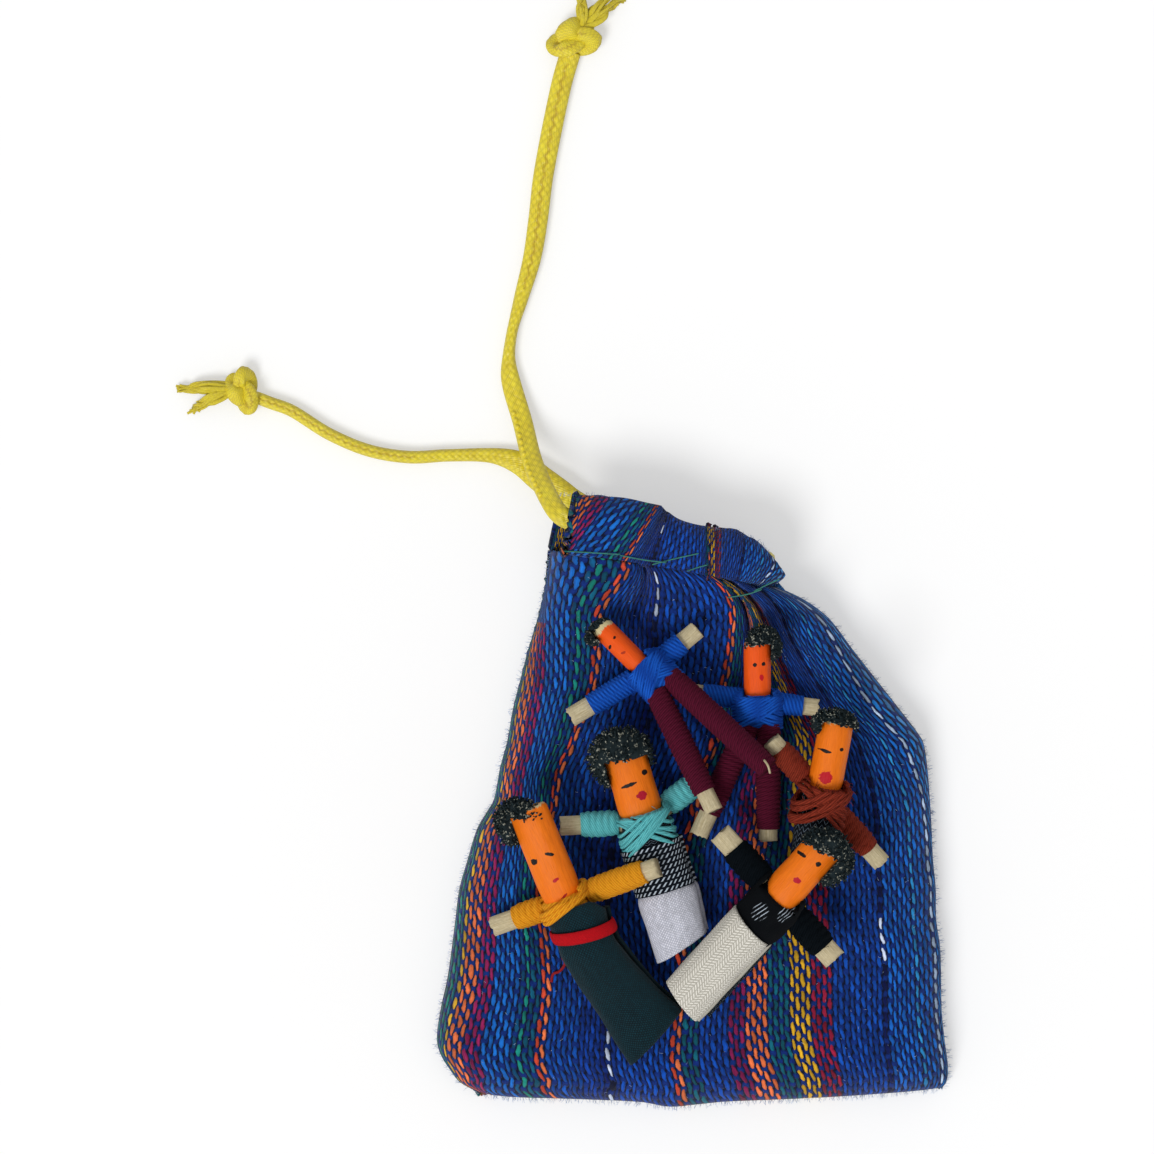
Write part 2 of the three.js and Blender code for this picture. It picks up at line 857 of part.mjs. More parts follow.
function hair(doll) {
  const half = doll.headWidth / 2;
  const blob = new THREE.SphereGeometry(1, 12, 8);
  const high = (doll.hairUp + doll.hairDown) / 2;
  blob.scale(half + doll.hairSide, high, doll.headThickness / 2 + doll.hairSide);
  blob.translate(doll.hairShift, doll.headTop + doll.hairUp - high, doll.headThickness / 2 - layGap);
  const openFront = faceWindow(doll, -overrun, doll.headTop - doll.hairLine);
  return cut(blob, headStick(doll, layGap), openFront);
}

// Turns what was built up the y axis so that it points along an arm.
function toArm(geometry, side, raised) {
  geometry.rotateZ(side * (raised - Math.PI / 2));
  geometry.translate(0, 0, armZ);
  return geometry;
}

function armStick(doll, side, spare) {
  const { width, left, right, leftRaised, rightRaised, split } = doll.arms;
  const length = side < 0 ? left : right;
  const start = split ? armStart : -left;
  const halfWidth = width / 2 + spare;
  const halfThickness = stickThickness / 2 + spare;
  const stick = loft([
    oval(start - spare, halfWidth, halfThickness, 10),
    oval(length + spare, halfWidth, halfThickness, 10),
  ]);
  return toArm(stick, side, side < 0 ? leftRaised : rightRaised);
}

function armSticks(doll, spare) {
  const right = armStick(doll, 1, spare);
  return doll.arms.split ? [armStick(doll, -1, spare), right] : [right];
}

// Fine thread wound round a stick: its turns are too thin to show as ridges.
function woundFine(from, to, halfWidth, halfThickness) {
  const stations = [
    [from, threadEndShare],
    [from + halfWidth / 2, 1],
    [to - halfWidth / 2, 1],
    [to, threadEndShare],
  ];
  return loft(stations.map(([y, share]) => oval(y, halfWidth * share, halfThickness * share, 10)));
}

// Yarn wound round a stick: each turn shows as a ridge.
function wound(from, to, halfWidthAt, halfThicknessAt, sides) {
  const turns = Math.max(2, Math.round((to - from) / yarnPitch));
  const rings = [];
  for (let i = 0; i <= 2 * turns; i += 1) {
    const share = i / (2 * turns);
    const ridge = i % 2 === 0 ? -yarnRidge : 0;
    const y = THREE.MathUtils.lerp(from, to, share);
    rings.push(oval(y, halfWidthAt(share) + ridge, halfThicknessAt(share) + ridge, sides));
  }
  return loft(rings);
}

function sleeve(doll, side) {
  const { leftFrom, leftTo, rightFrom, rightTo, width } = doll.sleeves;
  const from = side < 0 ? leftFrom : rightFrom;
  const to = side < 0 ? leftTo : rightTo;
  const swell = (share) => 1 - sleeveTaperShare * (2 * share - 1) ** 2;
  const winding = doll.legs
    ? woundFine(from, to, width / 2, sleeveHalfThickness)
    : wound(
        from,
        to,
        (share) => (width / 2) * swell(share),
        (share) => sleeveHalfThickness * swell(share),
        8,
      );
  return toArm(winding, side, side < 0 ? doll.arms.leftRaised : doll.arms.rightRaised);
}

// The space that a sleeve takes, with some room round it.
function smoothSleeve(doll, side, spare) {
  const { leftFrom, leftTo, rightFrom, rightTo, width } = doll.sleeves;
  const from = side < 0 ? leftFrom : rightFrom;
  const to = side < 0 ? leftTo : rightTo;
  const halfWidth = width / 2 + spare;
  const halfThickness = sleeveHalfThickness + spare;
  const space = loft([
    oval(from - spare, halfWidth, halfThickness, 10),
    oval(to, halfWidth, halfThickness, 10),
  ]);
  return toArm(space, side, side < 0 ? doll.arms.leftRaised : doll.arms.rightRaised);
}

// A band that goes round the body at a slant.
function band({ halfWidth, halfDepth, x, y, z, slant, width, thickness, steps }) {
  const rings = [];
  for (let i = 0; i < steps; i += 1) {
    const angle = (fullTurn * i) / steps;
    const middle = new THREE.Vector3(
      x + halfWidth * Math.cos(angle),
      y + slant * Math.cos(angle),
      z + halfDepth * Math.sin(angle),
    );
    const out = new THREE.Vector3(Math.cos(angle) * halfDepth, 0, Math.sin(angle) * halfWidth).normalize();
    const ring = [];
    const sides = 6;
    for (let k = 0; k < sides; k += 1) {
      const turn = (fullTurn * k) / sides;
      const point = middle.clone().addScaledVector(out, (thickness / 2) * Math.cos(turn));
      point.y += (width / 2) * Math.sin(turn);
      ring.push(point);
    }
    rings.push(ring);
  }
  const count = rings[0].length;
  const faces = [];
  for (let k = 0; k < steps; k += 1) {
    const here = k * count;
    const there = ((k + 1) % steps) * count;
    for (let i = 0; i < count; i += 1) {
      const next = (i + 1) % count;
      faces.push([here + i, here + next, there + next], [here + i, there + next, there + i]);
    }
  }
  return solidFrom(rings.flat(), faces);
}

// A skirt rolled up round the body. Each row of its table gives how far down the row lies, its width,
// its depth and its sway as shares, and, where they matter, its slant, its roll and how far it drops.
function rolledSkirt({ length, halfWidth, halfDepth, rowShares }) {
  const rings = rowShares.map(([down, wide, deep, sway, slant = 0, roll = 0, drop = 0]) =>
    rolledRing({
      y: -down * length,
      halfWidth: wide * halfWidth,
      halfDepth: deep * halfDepth,
      x: sway * halfWidth,
      slant,
      roll,
      drop: drop * halfDepth,
    }),
  );
  return loft(rings);
}

// A ring of cloth rolled up round the body, as seen along the y axis. Its plane may slant across.
function rolledRing({ y, halfWidth, halfDepth, x, slant, roll, drop }) {
  const steps = 16;
  const layer = rolledCloth + rolledGap;
  const ring = [];
  const point = (i, inset) => {
    const angle = -Math.PI / 2 + (fullTurn * rolledTurns * i) / steps;
    const away = layer * rolledTurns * (1 - i / steps) + inset;
    const across = (halfWidth - away) * Math.cos(angle);
    return new THREE.Vector3(across, slant * across, (halfDepth - away) * Math.sin(angle))
      .applyAxisAngle(new THREE.Vector3(0, 1, 0), roll)
      .add(new THREE.Vector3(x, y, bodyZ - drop));
  };
  for (let i = 0; i <= steps; i += 1) {
    ring.push(point(i, 0));
  }
  for (let i = steps; i >= 0; i -= 1) {
    ring.push(point(i, rolledCloth));
  }
  return ring;
}

// The chest cloth, or the yarn wound round the chest. Its back lies as deep as the sleeves' backs.
function torso(doll, { halfWidth, top, bottom, endShare }, spare = 0) {
  const depth = chestHalfDepth(doll) + spare;
  const z = chestZ(doll);
  const half = halfWidth + spare;
  const sides = 14;
  return loft([
    oval(-bottom - spare, half * endShare, depth * endShare, sides, 0, z),
    oval(-bottom / 2, half, depth, sides, 0, z),
    oval(top / 2, half, depth, sides, 0, z),
    oval(top + spare, half * endShare, depth * endShare, sides, 0, z),
  ]);
}

function chestHalfDepth(doll) {
  return (doll.headThickness + layGap + rolledCloth + backDepth) / 2;
}

function chestZ(doll) {
  return chestHalfDepth(doll) - backDepth;
}

// Opens the front above the chin, so that nothing lies over the face.
function faceWindow(doll, from, to) {
  const half = doll.headWidth / 2 + layGap;
  return loft([halfRound(from, half, doll.headTop, 6), halfRound(to, half, doll.headTop, 6)]);
}

function placeDoll(doll, group) {
  group.rotation.set(doll.headUp, -doll.rightUp, doll.turn, "ZXY");
  group.position.set(doll.chest[0], pileY + doll.chest[1], lyingHeight + doll.lift);
  return group;
}

function addHeadAndArms(doll, group) {
  group.add(piece(`${doll.name}_head_stick`, headStick(doll, 0), facePaint(doll.face)));
  group.add(piece(`${doll.name}_hair`, hair(doll), hairCloth));
  if (doll.arms.split) {
    group.add(piece(`${doll.name}_left_arm_stick`, armStick(doll, -1, 0), wood));
    group.add(piece(`${doll.name}_right_arm_stick`, armStick(doll, 1, 0), wood));
  } else {
    group.add(piece(`${doll.name}_arm_stick`, armStick(doll, 1, 0), wood));
  }
}

function addSleeves(doll, group) {
  const yarn = cloth(doll.yarn);
  const chest = torso(doll, doll.chestCloth, restGap);
  for (const [side, word] of [[-1, "left"], [1, "right"]]) {
    const winding = cut(sleeve(doll, side), chest, ...armSticks(doll, layGap));
    group.add(piece(`${doll.name}_${word}_sleeve`, winding, yarn));
  }
}

function addChestCloth(doll, group, name, colour) {
  const { chestCloth, headTop } = doll;
  const chest = cut(
    torso(doll, chestCloth),
    headStick(doll, layGap),
    faceWindow(doll, layGap, headTop),
    ...armSticks(doll, layGap),
  );
  group.add(piece(`${doll.name}_${name}`, chest, cloth(colour)));
}

// Two bands of yarn that cross on the chest and on the back.
function addCrossedYarn(doll, group) {
  const { chestCloth, neckYarn } = doll;
  const reach = layGap + yarnThickness / 2;
  const bandAt = (side) =>
    band({
      halfWidth: chestCloth.halfWidth + reach,
      halfDepth: chestHalfDepth(doll) + reach,
      x: 0,
      y: 0,
      z: chestZ(doll),
      slant: side * neckYarn.slant,
      width: neckYarn.width,
      thickness: yarnThickness,
      steps: 20,
    });
  const clear = [-1, 1].map((side) => smoothSleeve(doll, side, restGap));
  const bands = cut(join(bandAt(-1), bandAt(1)), ...clear, ...armSticks(doll, layGap));
  group.add(piece(`${doll.name}_neck_yarn`, bands, cloth(doll.yarn)));
}

// A jumper of yarn wound round the chest and both arms.
function addJumper(doll, group) {
  const jumper = cut(
    join(torso(doll, doll.chestCloth), sleeve(doll, -1), sleeve(doll, 1)),
    headStick(doll, layGap),
    ...armSticks(doll, layGap),
  );
  group.add(piece(`${doll.name}_jumper`, jumper, cloth(doll.yarn)));
}

// Turns what was built up the y axis into a leg that starts at the hips.
function toLeg(doll, geometry, side) {
  const { width, leftOut, rightOut, leftUp, rightUp } = doll.legs;
  geometry.rotateX(side < 0 ? leftUp : rightUp);
  geometry.rotateZ(Math.PI + (side < 0 ? leftOut : rightOut));
  geometry.translate((side * (width + restGap)) / 2, -doll.bodyBelow - restGap, bodyZ);
  return geometry;
}

function legStick(doll, side, spare) {
  const { width, leftLength, rightLength } = doll.legs;
  const length = side < 0 ? leftLength : rightLength;
  const half = width / 2 + spare;
  return toLeg(doll, loft([oval(-spare, half, half, 8), oval(length + spare, half, half, 8)]), side);
}

function legWinding(doll, side) {
  const { winding, leftTrouser, rightTrouser } = doll.legs;
  const length = side < 0 ? leftTrouser : rightTrouser;
  return toLeg(doll, woundFine(0, length, winding / 2, winding / 2), side);
}

function addLegs(doll, group) {
  const trousers = cloth(0x4a0a20);
  const { winding, leftTrouser } = doll.legs;
  const half = winding / 2 + layGap;
  const leftSpace = toLeg(doll, loft([oval(-overrun, half, half, 8), oval(leftTrouser, half, half, 8)]), -1);
  const sticks = [legStick(doll, -1, layGap), legStick(doll, 1, layGap)];
  group.add(piece(`${doll.name}_left_leg_stick`, legStick(doll, -1, 0), wood));
  group.add(piece(`${doll.name}_right_leg_stick`, legStick(doll, 1, 0), wood));
  const leftLeg = cut(legWinding(doll, -1), ...sticks);
  const rightLeg = cut(legWinding(doll, 1), leftSpace, ...sticks);
  group.add(piece(`${doll.name}_left_trouser_leg`, leftLeg, trousers));
  group.add(piece(`${doll.name}_right_trouser_leg`, rightLeg, trousers));
}

function buildTealDoll() {
  const group = new THREE.Group();
  const { skirt, underskirt } = tealDoll;
  addHeadAndArms(tealDoll, group);
  addSleeves(tealDoll, group);
  addChestCloth(tealDoll, group, "blouse", 0x10202c);
  addCrossedYarn(tealDoll, group);
  group.add(piece("teal_doll_skirt", rolledSkirt(skirt), cloth(0x202a38)));
  group.add(piece("teal_doll_underskirt", rolledSkirt(underskirt), cloth(0xc8c8d0)));
  return placeDoll(tealDoll, group);
}

function buildOrangeDoll() {
  const group = new THREE.Group();
  const { skirt, belt } = orangeDoll;
  addHeadAndArms(orangeDoll, group);
  addSleeves(orangeDoll, group);
  addChestCloth(orangeDoll, group, "neck_yarn", orangeDoll.yarn);
  group.add(piece("orange_doll_skirt", rolledSkirt(skirt), cloth(0x06282f)));
  group.add(piece("orange_doll_belt", band({ ...belt, z: bodyZ }), cloth(0xc01018)));
  return placeDoll(orangeDoll, group);
}

function buildTrouserDoll(doll) {
  const group = new THREE.Group();
  addHeadAndArms(doll, group);
  addJumper(doll, group);
  addLegs(doll, group);
  return placeDoll(doll, group);
}

function buildRustDoll() {
  const group = new THREE.Group();
  addHeadAndArms(rustDoll, group);
  addSleeves(rustDoll, group);
  addChestCloth(rustDoll, group, "dress", 0x101820);
  addCrossedYarn(rustDoll, group);
  return placeDoll(rustDoll, group);
}

function buildBlackDoll() {
  const group = new THREE.Group();
  const { skirt, lining } = blackDoll;
  addHeadAndArms(blackDoll, group);
  addSleeves(blackDoll, group);
  addChestCloth(blackDoll, group, "blouse", blackDoll.yarn);
  group.add(piece("black_doll_skirt", rolledSkirt(skirt), cloth(0xcfcfc8)));
  const skirtBack = bodyZ - skirt.halfDepth;
  const layer = new THREE.BoxGeometry(lining.width, lining.length, rolledCloth);
  layer.translate(lining.x, -lining.top - lining.length / 2, skirtBack - restGap - rolledCloth / 2);
  group.add(piece("black_doll_skirt_lining", layer, cloth(0x10141c)));
  return placeDoll(blackDoll, group);
}

const set = new THREE.Group();
set.add(buildPouch());
set.add(buildDrawstring());
set.add(buildTealDoll());
set.add(buildOrangeDoll());
set.add(buildTrouserDoll(rightTrouserDoll));
set.add(buildTrouserDoll(leftTrouserDoll));
set.add(buildRustDoll());
set.add(buildBlackDoll());

export default set;
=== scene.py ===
from functools import partial
import math
import random

import bmesh
import bpy
from mathutils import Matrix, Vector, noise
from mathutils.bvhtree import BVHTree


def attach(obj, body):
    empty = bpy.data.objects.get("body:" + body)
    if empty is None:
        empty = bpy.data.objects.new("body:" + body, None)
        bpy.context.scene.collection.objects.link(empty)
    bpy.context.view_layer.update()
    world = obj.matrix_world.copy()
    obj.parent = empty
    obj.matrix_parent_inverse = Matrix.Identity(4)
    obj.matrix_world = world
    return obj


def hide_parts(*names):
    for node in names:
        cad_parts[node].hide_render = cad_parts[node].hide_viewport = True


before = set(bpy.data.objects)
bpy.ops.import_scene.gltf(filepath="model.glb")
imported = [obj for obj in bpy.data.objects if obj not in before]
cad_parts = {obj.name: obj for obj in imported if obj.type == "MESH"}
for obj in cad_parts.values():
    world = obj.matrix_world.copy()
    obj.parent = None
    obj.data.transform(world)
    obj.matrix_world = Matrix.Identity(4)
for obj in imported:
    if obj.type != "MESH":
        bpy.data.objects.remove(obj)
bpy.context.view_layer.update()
mm = 0.001  # every shape below is written in millimetres

view = {"middle": (-12.705, 24.145), "height": 604, "lens": 170.2, "sensor": 36}
lamps = {
    "sky": 0.5, "sun": 1.75, "sunTurn": (28, -24, 0), "sunAngle": 25,
    "floor": 0.62, "floorCamera": 0.42, "floorSize": 0.9, "floorDrop": 0.03,
}


def colour(code):  # a colour as it looks on the screen, brought to Blender's own scale
    parts = [int(code[i:i + 2], 16) / 255 for i in (1, 3, 5)]
    return tuple(p / 12.92 if p <= 0.04045 else ((p + 0.055) / 1.055) ** 2.4 for p in parts) + (1,)


def linked(name, data):  # a new object in the scene
    thing = bpy.data.objects.new(name, data)
    bpy.context.scene.collection.objects.link(thing)
    return thing


def rayIsSeen(tree):  # 1 for what the camera sees, straight, mirrored or through glass, and 0 for light
    path = tree.nodes.new("ShaderNodeLightPath")
    seen = calc(tree, "MAXIMUM", path.outputs["Is Camera Ray"], path.outputs["Is Glossy Ray"])
    return calc(tree, "MAXIMUM", seen, path.outputs["Is Transmission Ray"])


def buildSky():
    world = bpy.data.worlds.new("sky")
    bpy.context.scene.world = world
    world.use_nodes = True
    tree = world.node_tree
    sky = tree.nodes["Background"]
    sky.inputs["Color"].default_value = (1, 1, 1, 1)
    level = calc(tree, "MULTIPLY_ADD", rayIsSeen(tree), 1 - lamps["sky"], lamps["sky"])
    tree.links.new(level, sky.inputs["Strength"])


def buildFloor():
    bm = bmesh.new()
    bmesh.ops.create_grid(bm, x_segments=1, y_segments=1, size=lamps["floorSize"])
    bmesh.ops.translate(bm, vec=(0, 0, -lamps["floorDrop"] * mm), verts=bm.verts)
    mesh = bpy.data.meshes.new("floor")
    bm.to_mesh(mesh)
    bm.free()
    material = bpy.data.materials.new("white_floor")
    material.use_nodes = True
    tree = material.node_tree
    tree.nodes.clear()
    matt = tree.nodes.new("ShaderNodeBsdfDiffuse")
    matt.inputs["Color"].default_value = (lamps["floor"],) * 3 + (1,)
    glow = tree.nodes.new("ShaderNodeEmission")
    tree.links.new(calc(tree, "MULTIPLY", rayIsSeen(tree), lamps["floorCamera"]), glow.inputs["Strength"])
    both = tree.nodes.new("ShaderNodeAddShader")
    out = tree.nodes.new("ShaderNodeOutputMaterial")
    tree.links.new(matt.outputs[0], both.inputs[0])
    tree.links.new(glow.outputs[0], both.inputs[1])
    tree.links.new(both.outputs[0], out.inputs["Surface"])
    mesh.materials.append(material)
    floor = linked("floor", mesh)


def buildStage():
    camera = linked("camera", bpy.data.cameras.new("camera"))
    camera.data.lens = view["lens"]
    camera.data.sensor_width = view["sensor"]
    camera.data.clip_start = 0.01
    camera.location = (view["middle"][0] * mm, view["middle"][1] * mm, view["height"] * mm)
    bpy.context.scene.camera = camera

    sun = linked("sun", bpy.data.lights.new("sun", "SUN"))
    sun.data.energy = lamps["sun"]
    sun.data.angle = math.radians(lamps["sunAngle"])
    sun.rotation_euler = [math.radians(turn) for turn in lamps["sunTurn"]]

    buildSky()
    buildFloor()
    bpy.context.scene.view_settings.view_transform = "Standard"
    print("stage ready")


# Shader helpers

def calc(tree, operation, *terms):
    step = tree.nodes.new("ShaderNodeMath")
    step.operation = operation
    for socket, term in zip(step.inputs, terms):
        if isinstance(term, (int, float)):
            socket.default_value = term
        else:
            tree.links.new(term, socket)
    return step.outputs[0]


def clamped(tree, operation, *terms):  # a result kept between 0 and 1
    result = calc(tree, operation, *terms)
    result.node.use_clamp = True
    return result


def axes(tree, vector):
    parts = tree.nodes.new("ShaderNodeSeparateXYZ")
    tree.links.new(vector, parts.inputs[0])
    return parts.outputs["X"], parts.outputs["Y"]


def combined(tree, *terms):
    whole = tree.nodes.new("ShaderNodeCombineXYZ")
    for socket, term in zip(whole.inputs, terms):
        tree.links.new(term, socket)
    return whole.outputs[0]


def mixColours(tree, share, first, second, blend="MIX"):
    step = tree.nodes.new("ShaderNodeMix")
    step.data_type = "RGBA"
    step.blend_type = blend
    for name, term in (("Factor_Float", share), ("A_Color", first), ("B_Color", second)):
        socket = next(s for s in step.inputs if s.identifier == name)
        if isinstance(term, bpy.types.NodeSocket):
            tree.links.new(term, socket)
        else:
            socket.default_value = colour(term) if isinstance(term, str) else term
    return next(s for s in step.outputs if s.identifier == "Result_Color")


def newGroup(name, numbers, results):  # takes a UV and some numbers, and gives numbers
    group = bpy.data.node_groups.new(name, "ShaderNodeTree")
    group.interface.new_socket(name="UV", in_out="INPUT", socket_type="NodeSocketVector")
    for label, value in numbers.items():
        socket = group.interface.new_socket(name=label, in_out="INPUT", socket_type="NodeSocketFloat")
        socket.default_value = value
    for label in results:
        group.interface.new_socket(name=label, in_out="OUTPUT", socket_type="NodeSocketFloat")
    given, out = group.nodes.new("NodeGroupInput"), group.nodes.new("NodeGroupOutput")
    return group, given.outputs, out.inputs


def give(group, out, **results):
    for name, value in results.items():
        group.links.new(value, out[name])
    return group


def place(tree, group, **values):  # puts a group in a material and gives what it works out
    step = tree.nodes.new("ShaderNodeGroup")
    step.node_tree = group
    for name, value in values.items():
        socket = step.inputs[name.replace("_", " ")]
        if isinstance(value, bpy.types.NodeSocket):
            tree.links.new(value, socket)
        else:
            socket.default_value = value
    return step.outputs


def speckle(tree, vector, scale, detail=2.0, rough=0.5):  # scale is one number, or one for each axis
    if isinstance(scale, tuple):
        vector, scale = stretched(tree, vector, scale), 1
    step = tree.nodes.new("ShaderNodeTexNoise")
    step.inputs["Scale"].default_value = scale
    step.inputs["Detail"].default_value = detail
    step.inputs["Roughness"].default_value = rough
    tree.links.new(vector, step.inputs["Vector"])
    return step.outputs["Fac"]


def stretched(tree, vector, scale):
    step = tree.nodes.new("ShaderNodeMapping")
    step.inputs["Scale"].default_value = scale
    tree.links.new(vector, step.inputs["Vector"])
    return step.outputs["Vector"]


def weaveGroup():  # plain weave: leaning floats of the warp, with a knot of the weft between two floats
    group, given, out = newGroup(
        "plain weave", {"Columns": 90.0, "Picks": 60.0, "Float Length": 0.85, "Lean": 0.0},
        ["Warp", "Weft", "Height", "Variation", "Fibre"])
    do = partial(calc, group)
    x, y = axes(group, given["UV"])
    column = do("MULTIPLY", x, given["Columns"])
    pick = do("MULTIPLY", y, given["Picks"])
    whole = do("FLOOR", do("ADD", column, 0.0005))
    beside = do("SUBTRACT", do("SUBTRACT", column, whole), 0.5)
    row = do("ADD", do("ADD", pick, whole), 0.5)
    ahead = do("SUBTRACT", do("FLOORED_MODULO", row, 2), 1)
    near = do("ABSOLUTE", ahead)
    across = do("MULTIPLY_ADD", beside, 2.75, do("MULTIPLY", ahead, given["Lean"]))
    along = do("POWER", do("DIVIDE", near, given["Float Length"]), 2.6)
    left = do("MAXIMUM", do("SUBTRACT", 1, do("MULTIPLY_ADD", across, across, along)), 0)
    weftAlong = do("DIVIDE", do("SUBTRACT", 1, near), 0.5)
    weftSide = do("MULTIPLY", do("MULTIPLY", beside, beside), 2.2)
    weftLeft = do("SUBTRACT", do("SUBTRACT", 1, do("MULTIPLY", weftAlong, weftAlong)), weftSide)
    weftRise = do("SQRT", do("MAXIMUM", weftLeft, 0))
    chance = group.nodes.new("ShaderNodeTexWhiteNoise")
    chance.noise_dimensions = "2D"
    group.links.new(combined(group, whole, do("FLOOR", do("DIVIDE", row, 2))), chance.inputs["Vector"])
    variation = chance.outputs["Value"]
    twist = combined(group, do("MULTIPLY_ADD", column, 4.2, do("MULTIPLY", pick, 0.9)),
                     do("MULTIPLY", pick, 0.95), do("MULTIPLY", variation, 40))
    return give(group, out, Warp=clamped(group, "MULTIPLY", left, 5), Weft=weftRise, Variation=variation,
                Height=do("MAXIMUM", do("SQRT", left), do("MULTIPLY", weftRise, 0.7)),
                Fibre=speckle(group, twist, 1, 3.0, 0.65))


def twillGroup():  # short slanted floats whose slant turns round every few columns
    group, given, out = newGroup(
        "broken twill", {"Columns": 20.0, "Picks": 20.0, "Turn": 2.0, "Dash": 0.45, "Gap": 0.04},
        ["Dash", "Height"])
    do = partial(calc, group)
    x, y = axes(group, given["UV"])
    column = do("MULTIPLY", x, given["Columns"])
    zigzag = do("PINGPONG", column, given["Turn"])
    slant = do("FRACT", do("ADD", do("MULTIPLY", y, given["Picks"]), zigzag))
    middle = do("ABSOLUTE", do("SUBTRACT", slant, 0.5))
    edge = do("SUBTRACT", do("MULTIPLY", given["Dash"], 0.5), middle)
    across = do("ABSOLUTE", do("SUBTRACT", do("FRACT", column), 0.5))
    thin = do("SUBTRACT", do("SUBTRACT", 0.5, given["Gap"]), across)
    dash = clamped(group, "MULTIPLY", do("MINIMUM", edge, thin), 12)
    return give(group, out, Dash=dash, Height=do("SUBTRACT", 1, do("MULTIPLY", dash, 0.7)))


def strandGroup():  # the fibres of a yarn, twisted round it: UV runs round and along
    group, given, out = newGroup(
        "twisted fibres", {"Plies": 3.0, "Twists": 10.0, "Fuzz": 0.5}, ["Fibre", "Height"])
    do = partial(calc, group)
    x, y = axes(group, given["UV"])
    wander = do("MULTIPLY", speckle(group, given["UV"], (6, 60, 1)), given["Fuzz"])
    phase = do("MULTIPLY_ADD", x, given["Plies"], do("MULTIPLY_ADD", y, given["Twists"], wander))
    ridge = do("PINGPONG", phase, 0.5)
    fine = do("PINGPONG", do("MULTIPLY", phase, 4.3), 0.5)
    return give(group, out, Fibre=do("MULTIPLY_ADD", fine, 0.7, do("MULTIPLY", ridge, 1.3)),
                Height=do("SQRT", do("MULTIPLY", ridge, 2)))


def grainGroup():  # the long fibres of split wood: UV runs round and along
    group, given, out = newGroup("split grain", {"Around": 14.0, "Along": 1.5}, ["Grain", "Blotch"])
    spread = group.nodes.new("ShaderNodeVectorMath")
    spread.operation = "MULTIPLY"
    group.links.new(given["UV"], spread.inputs[0])
    group.links.new(combined(group, given["Around"], given["Along"]), spread.inputs[1])
    return give(group, out, Grain=speckle(group, spread.outputs[0], 1.6, 3.0, 0.6),
                Blotch=speckle(group, given["UV"], 3.5, 1.0))


def markGroup():  # a painted mark on a face, at a place in millimetres, with a wavering edge
    group, given, out = newGroup(
        "painted mark", {"X": 0.0, "Y": 0.0, "Long": 1.0, "High": 0.5, "Turn": 0.0, "Waver": 0.25}, ["Mark"])
    do = partial(calc, group)
    x, y = axes(group, given["UV"])
    x, y = do("SUBTRACT", x, given["X"]), do("SUBTRACT", y, given["Y"])
    cosine, sine = do("COSINE", given["Turn"]), do("SINE", given["Turn"])
    along = do("ADD", do("MULTIPLY", x, cosine), do("MULTIPLY", y, sine))
    aside = do("SUBTRACT", do("MULTIPLY", y, cosine), do("MULTIPLY", x, sine))
    along = do("DIVIDE", along, do("MULTIPLY", given["Long"], 0.5))
    aside = do("DIVIDE", aside, do("MULTIPLY", given["High"], 0.5))
    reach = do("SQRT", do("MULTIPLY_ADD", along, along, do("MULTIPLY", aside, aside)))
    waver = do("MULTIPLY", do("SUBTRACT", speckle(group, given["UV"], 2.6), 0.5), given["Waver"])
    edge = do("SUBTRACT", 1, do("ADD", reach, do("MULTIPLY", waver, 3)))
    return give(group, out, Mark=clamped(group, "MULTIPLY", edge, 5))


groups = {
    "weave": weaveGroup(), "twill": twillGroup(), "strand": strandGroup(),
    "grain": grainGroup(), "mark": markGroup(),
}


def newMaterial(name, roughness, sheen=0.0, specular=0.3):
    material = bpy.data.materials.new(name)
    material.use_nodes = True
    tree = material.node_tree
    shader = tree.nodes["Principled BSDF"]
    shader.inputs["Roughness"].default_value = roughness
    shader.inputs["Sheen Weight"].default_value = sheen
    shader.inputs["Specular IOR Level"].default_value = specular
    return material, tree, shader


def uvOf(tree):
    return tree.nodes.new("ShaderNodeUVMap").outputs["UV"]


def spotOf(tree):
    return tree.nodes.new("ShaderNodeTexCoord").outputs["Object"]


def painted(tree, shader, base):
    tree.links.new(base, shader.inputs["Base Color"])


def raised(tree, shader, height, strength, distance):
    bump = tree.nodes.new("ShaderNodeBump")
    bump.inputs["Strength"].default_value = strength
    bump.inputs["Distance"].default_value = distance * mm
    tree.links.new(height, bump.inputs["Height"])
    tree.links.new(bump.outputs["Normal"], shader.inputs["Normal"])


def shaded(tree, base, low, high, amount):  # base darkened and lightened between two shades by an amount
    level = calc(tree, "MULTIPLY_ADD", amount, high - low, low)
    grey = tree.nodes.new("ShaderNodeCombineColor")
    for socket in grey.inputs:
        tree.links.new(level, socket)
    return mixColours(tree, 1.0, base, grey.outputs[0], "MULTIPLY")


# Mesh helpers

def wrapped(across, along, surface, closed=False):  # a grid of faces laid over surface(u, v)
    bm = bmesh.new()
    bm.loops.layers.uv.new("UVMap")
    bmesh.ops.create_grid(bm, x_segments=across, y_segments=along, size=0.5, calc_uvs=True)
    for vert in bm.verts:
        vert.co = surface(vert.co.x + 0.5, vert.co.y + 0.5)
    if closed:
        bmesh.ops.remove_doubles(bm, verts=bm.verts, dist=1e-4)
        bmesh.ops.holes_fill(bm, edges=bm.edges, sides=0)
    return bm


def joined(*meshes):  # one bmesh of several
    whole = bmesh.new()
    for bm in meshes:
        part = bpy.data.meshes.new("part")
        bm.to_mesh(part)
        bm.free()
        whole.from_mesh(part)
        bpy.data.meshes.remove(part)
    return whole


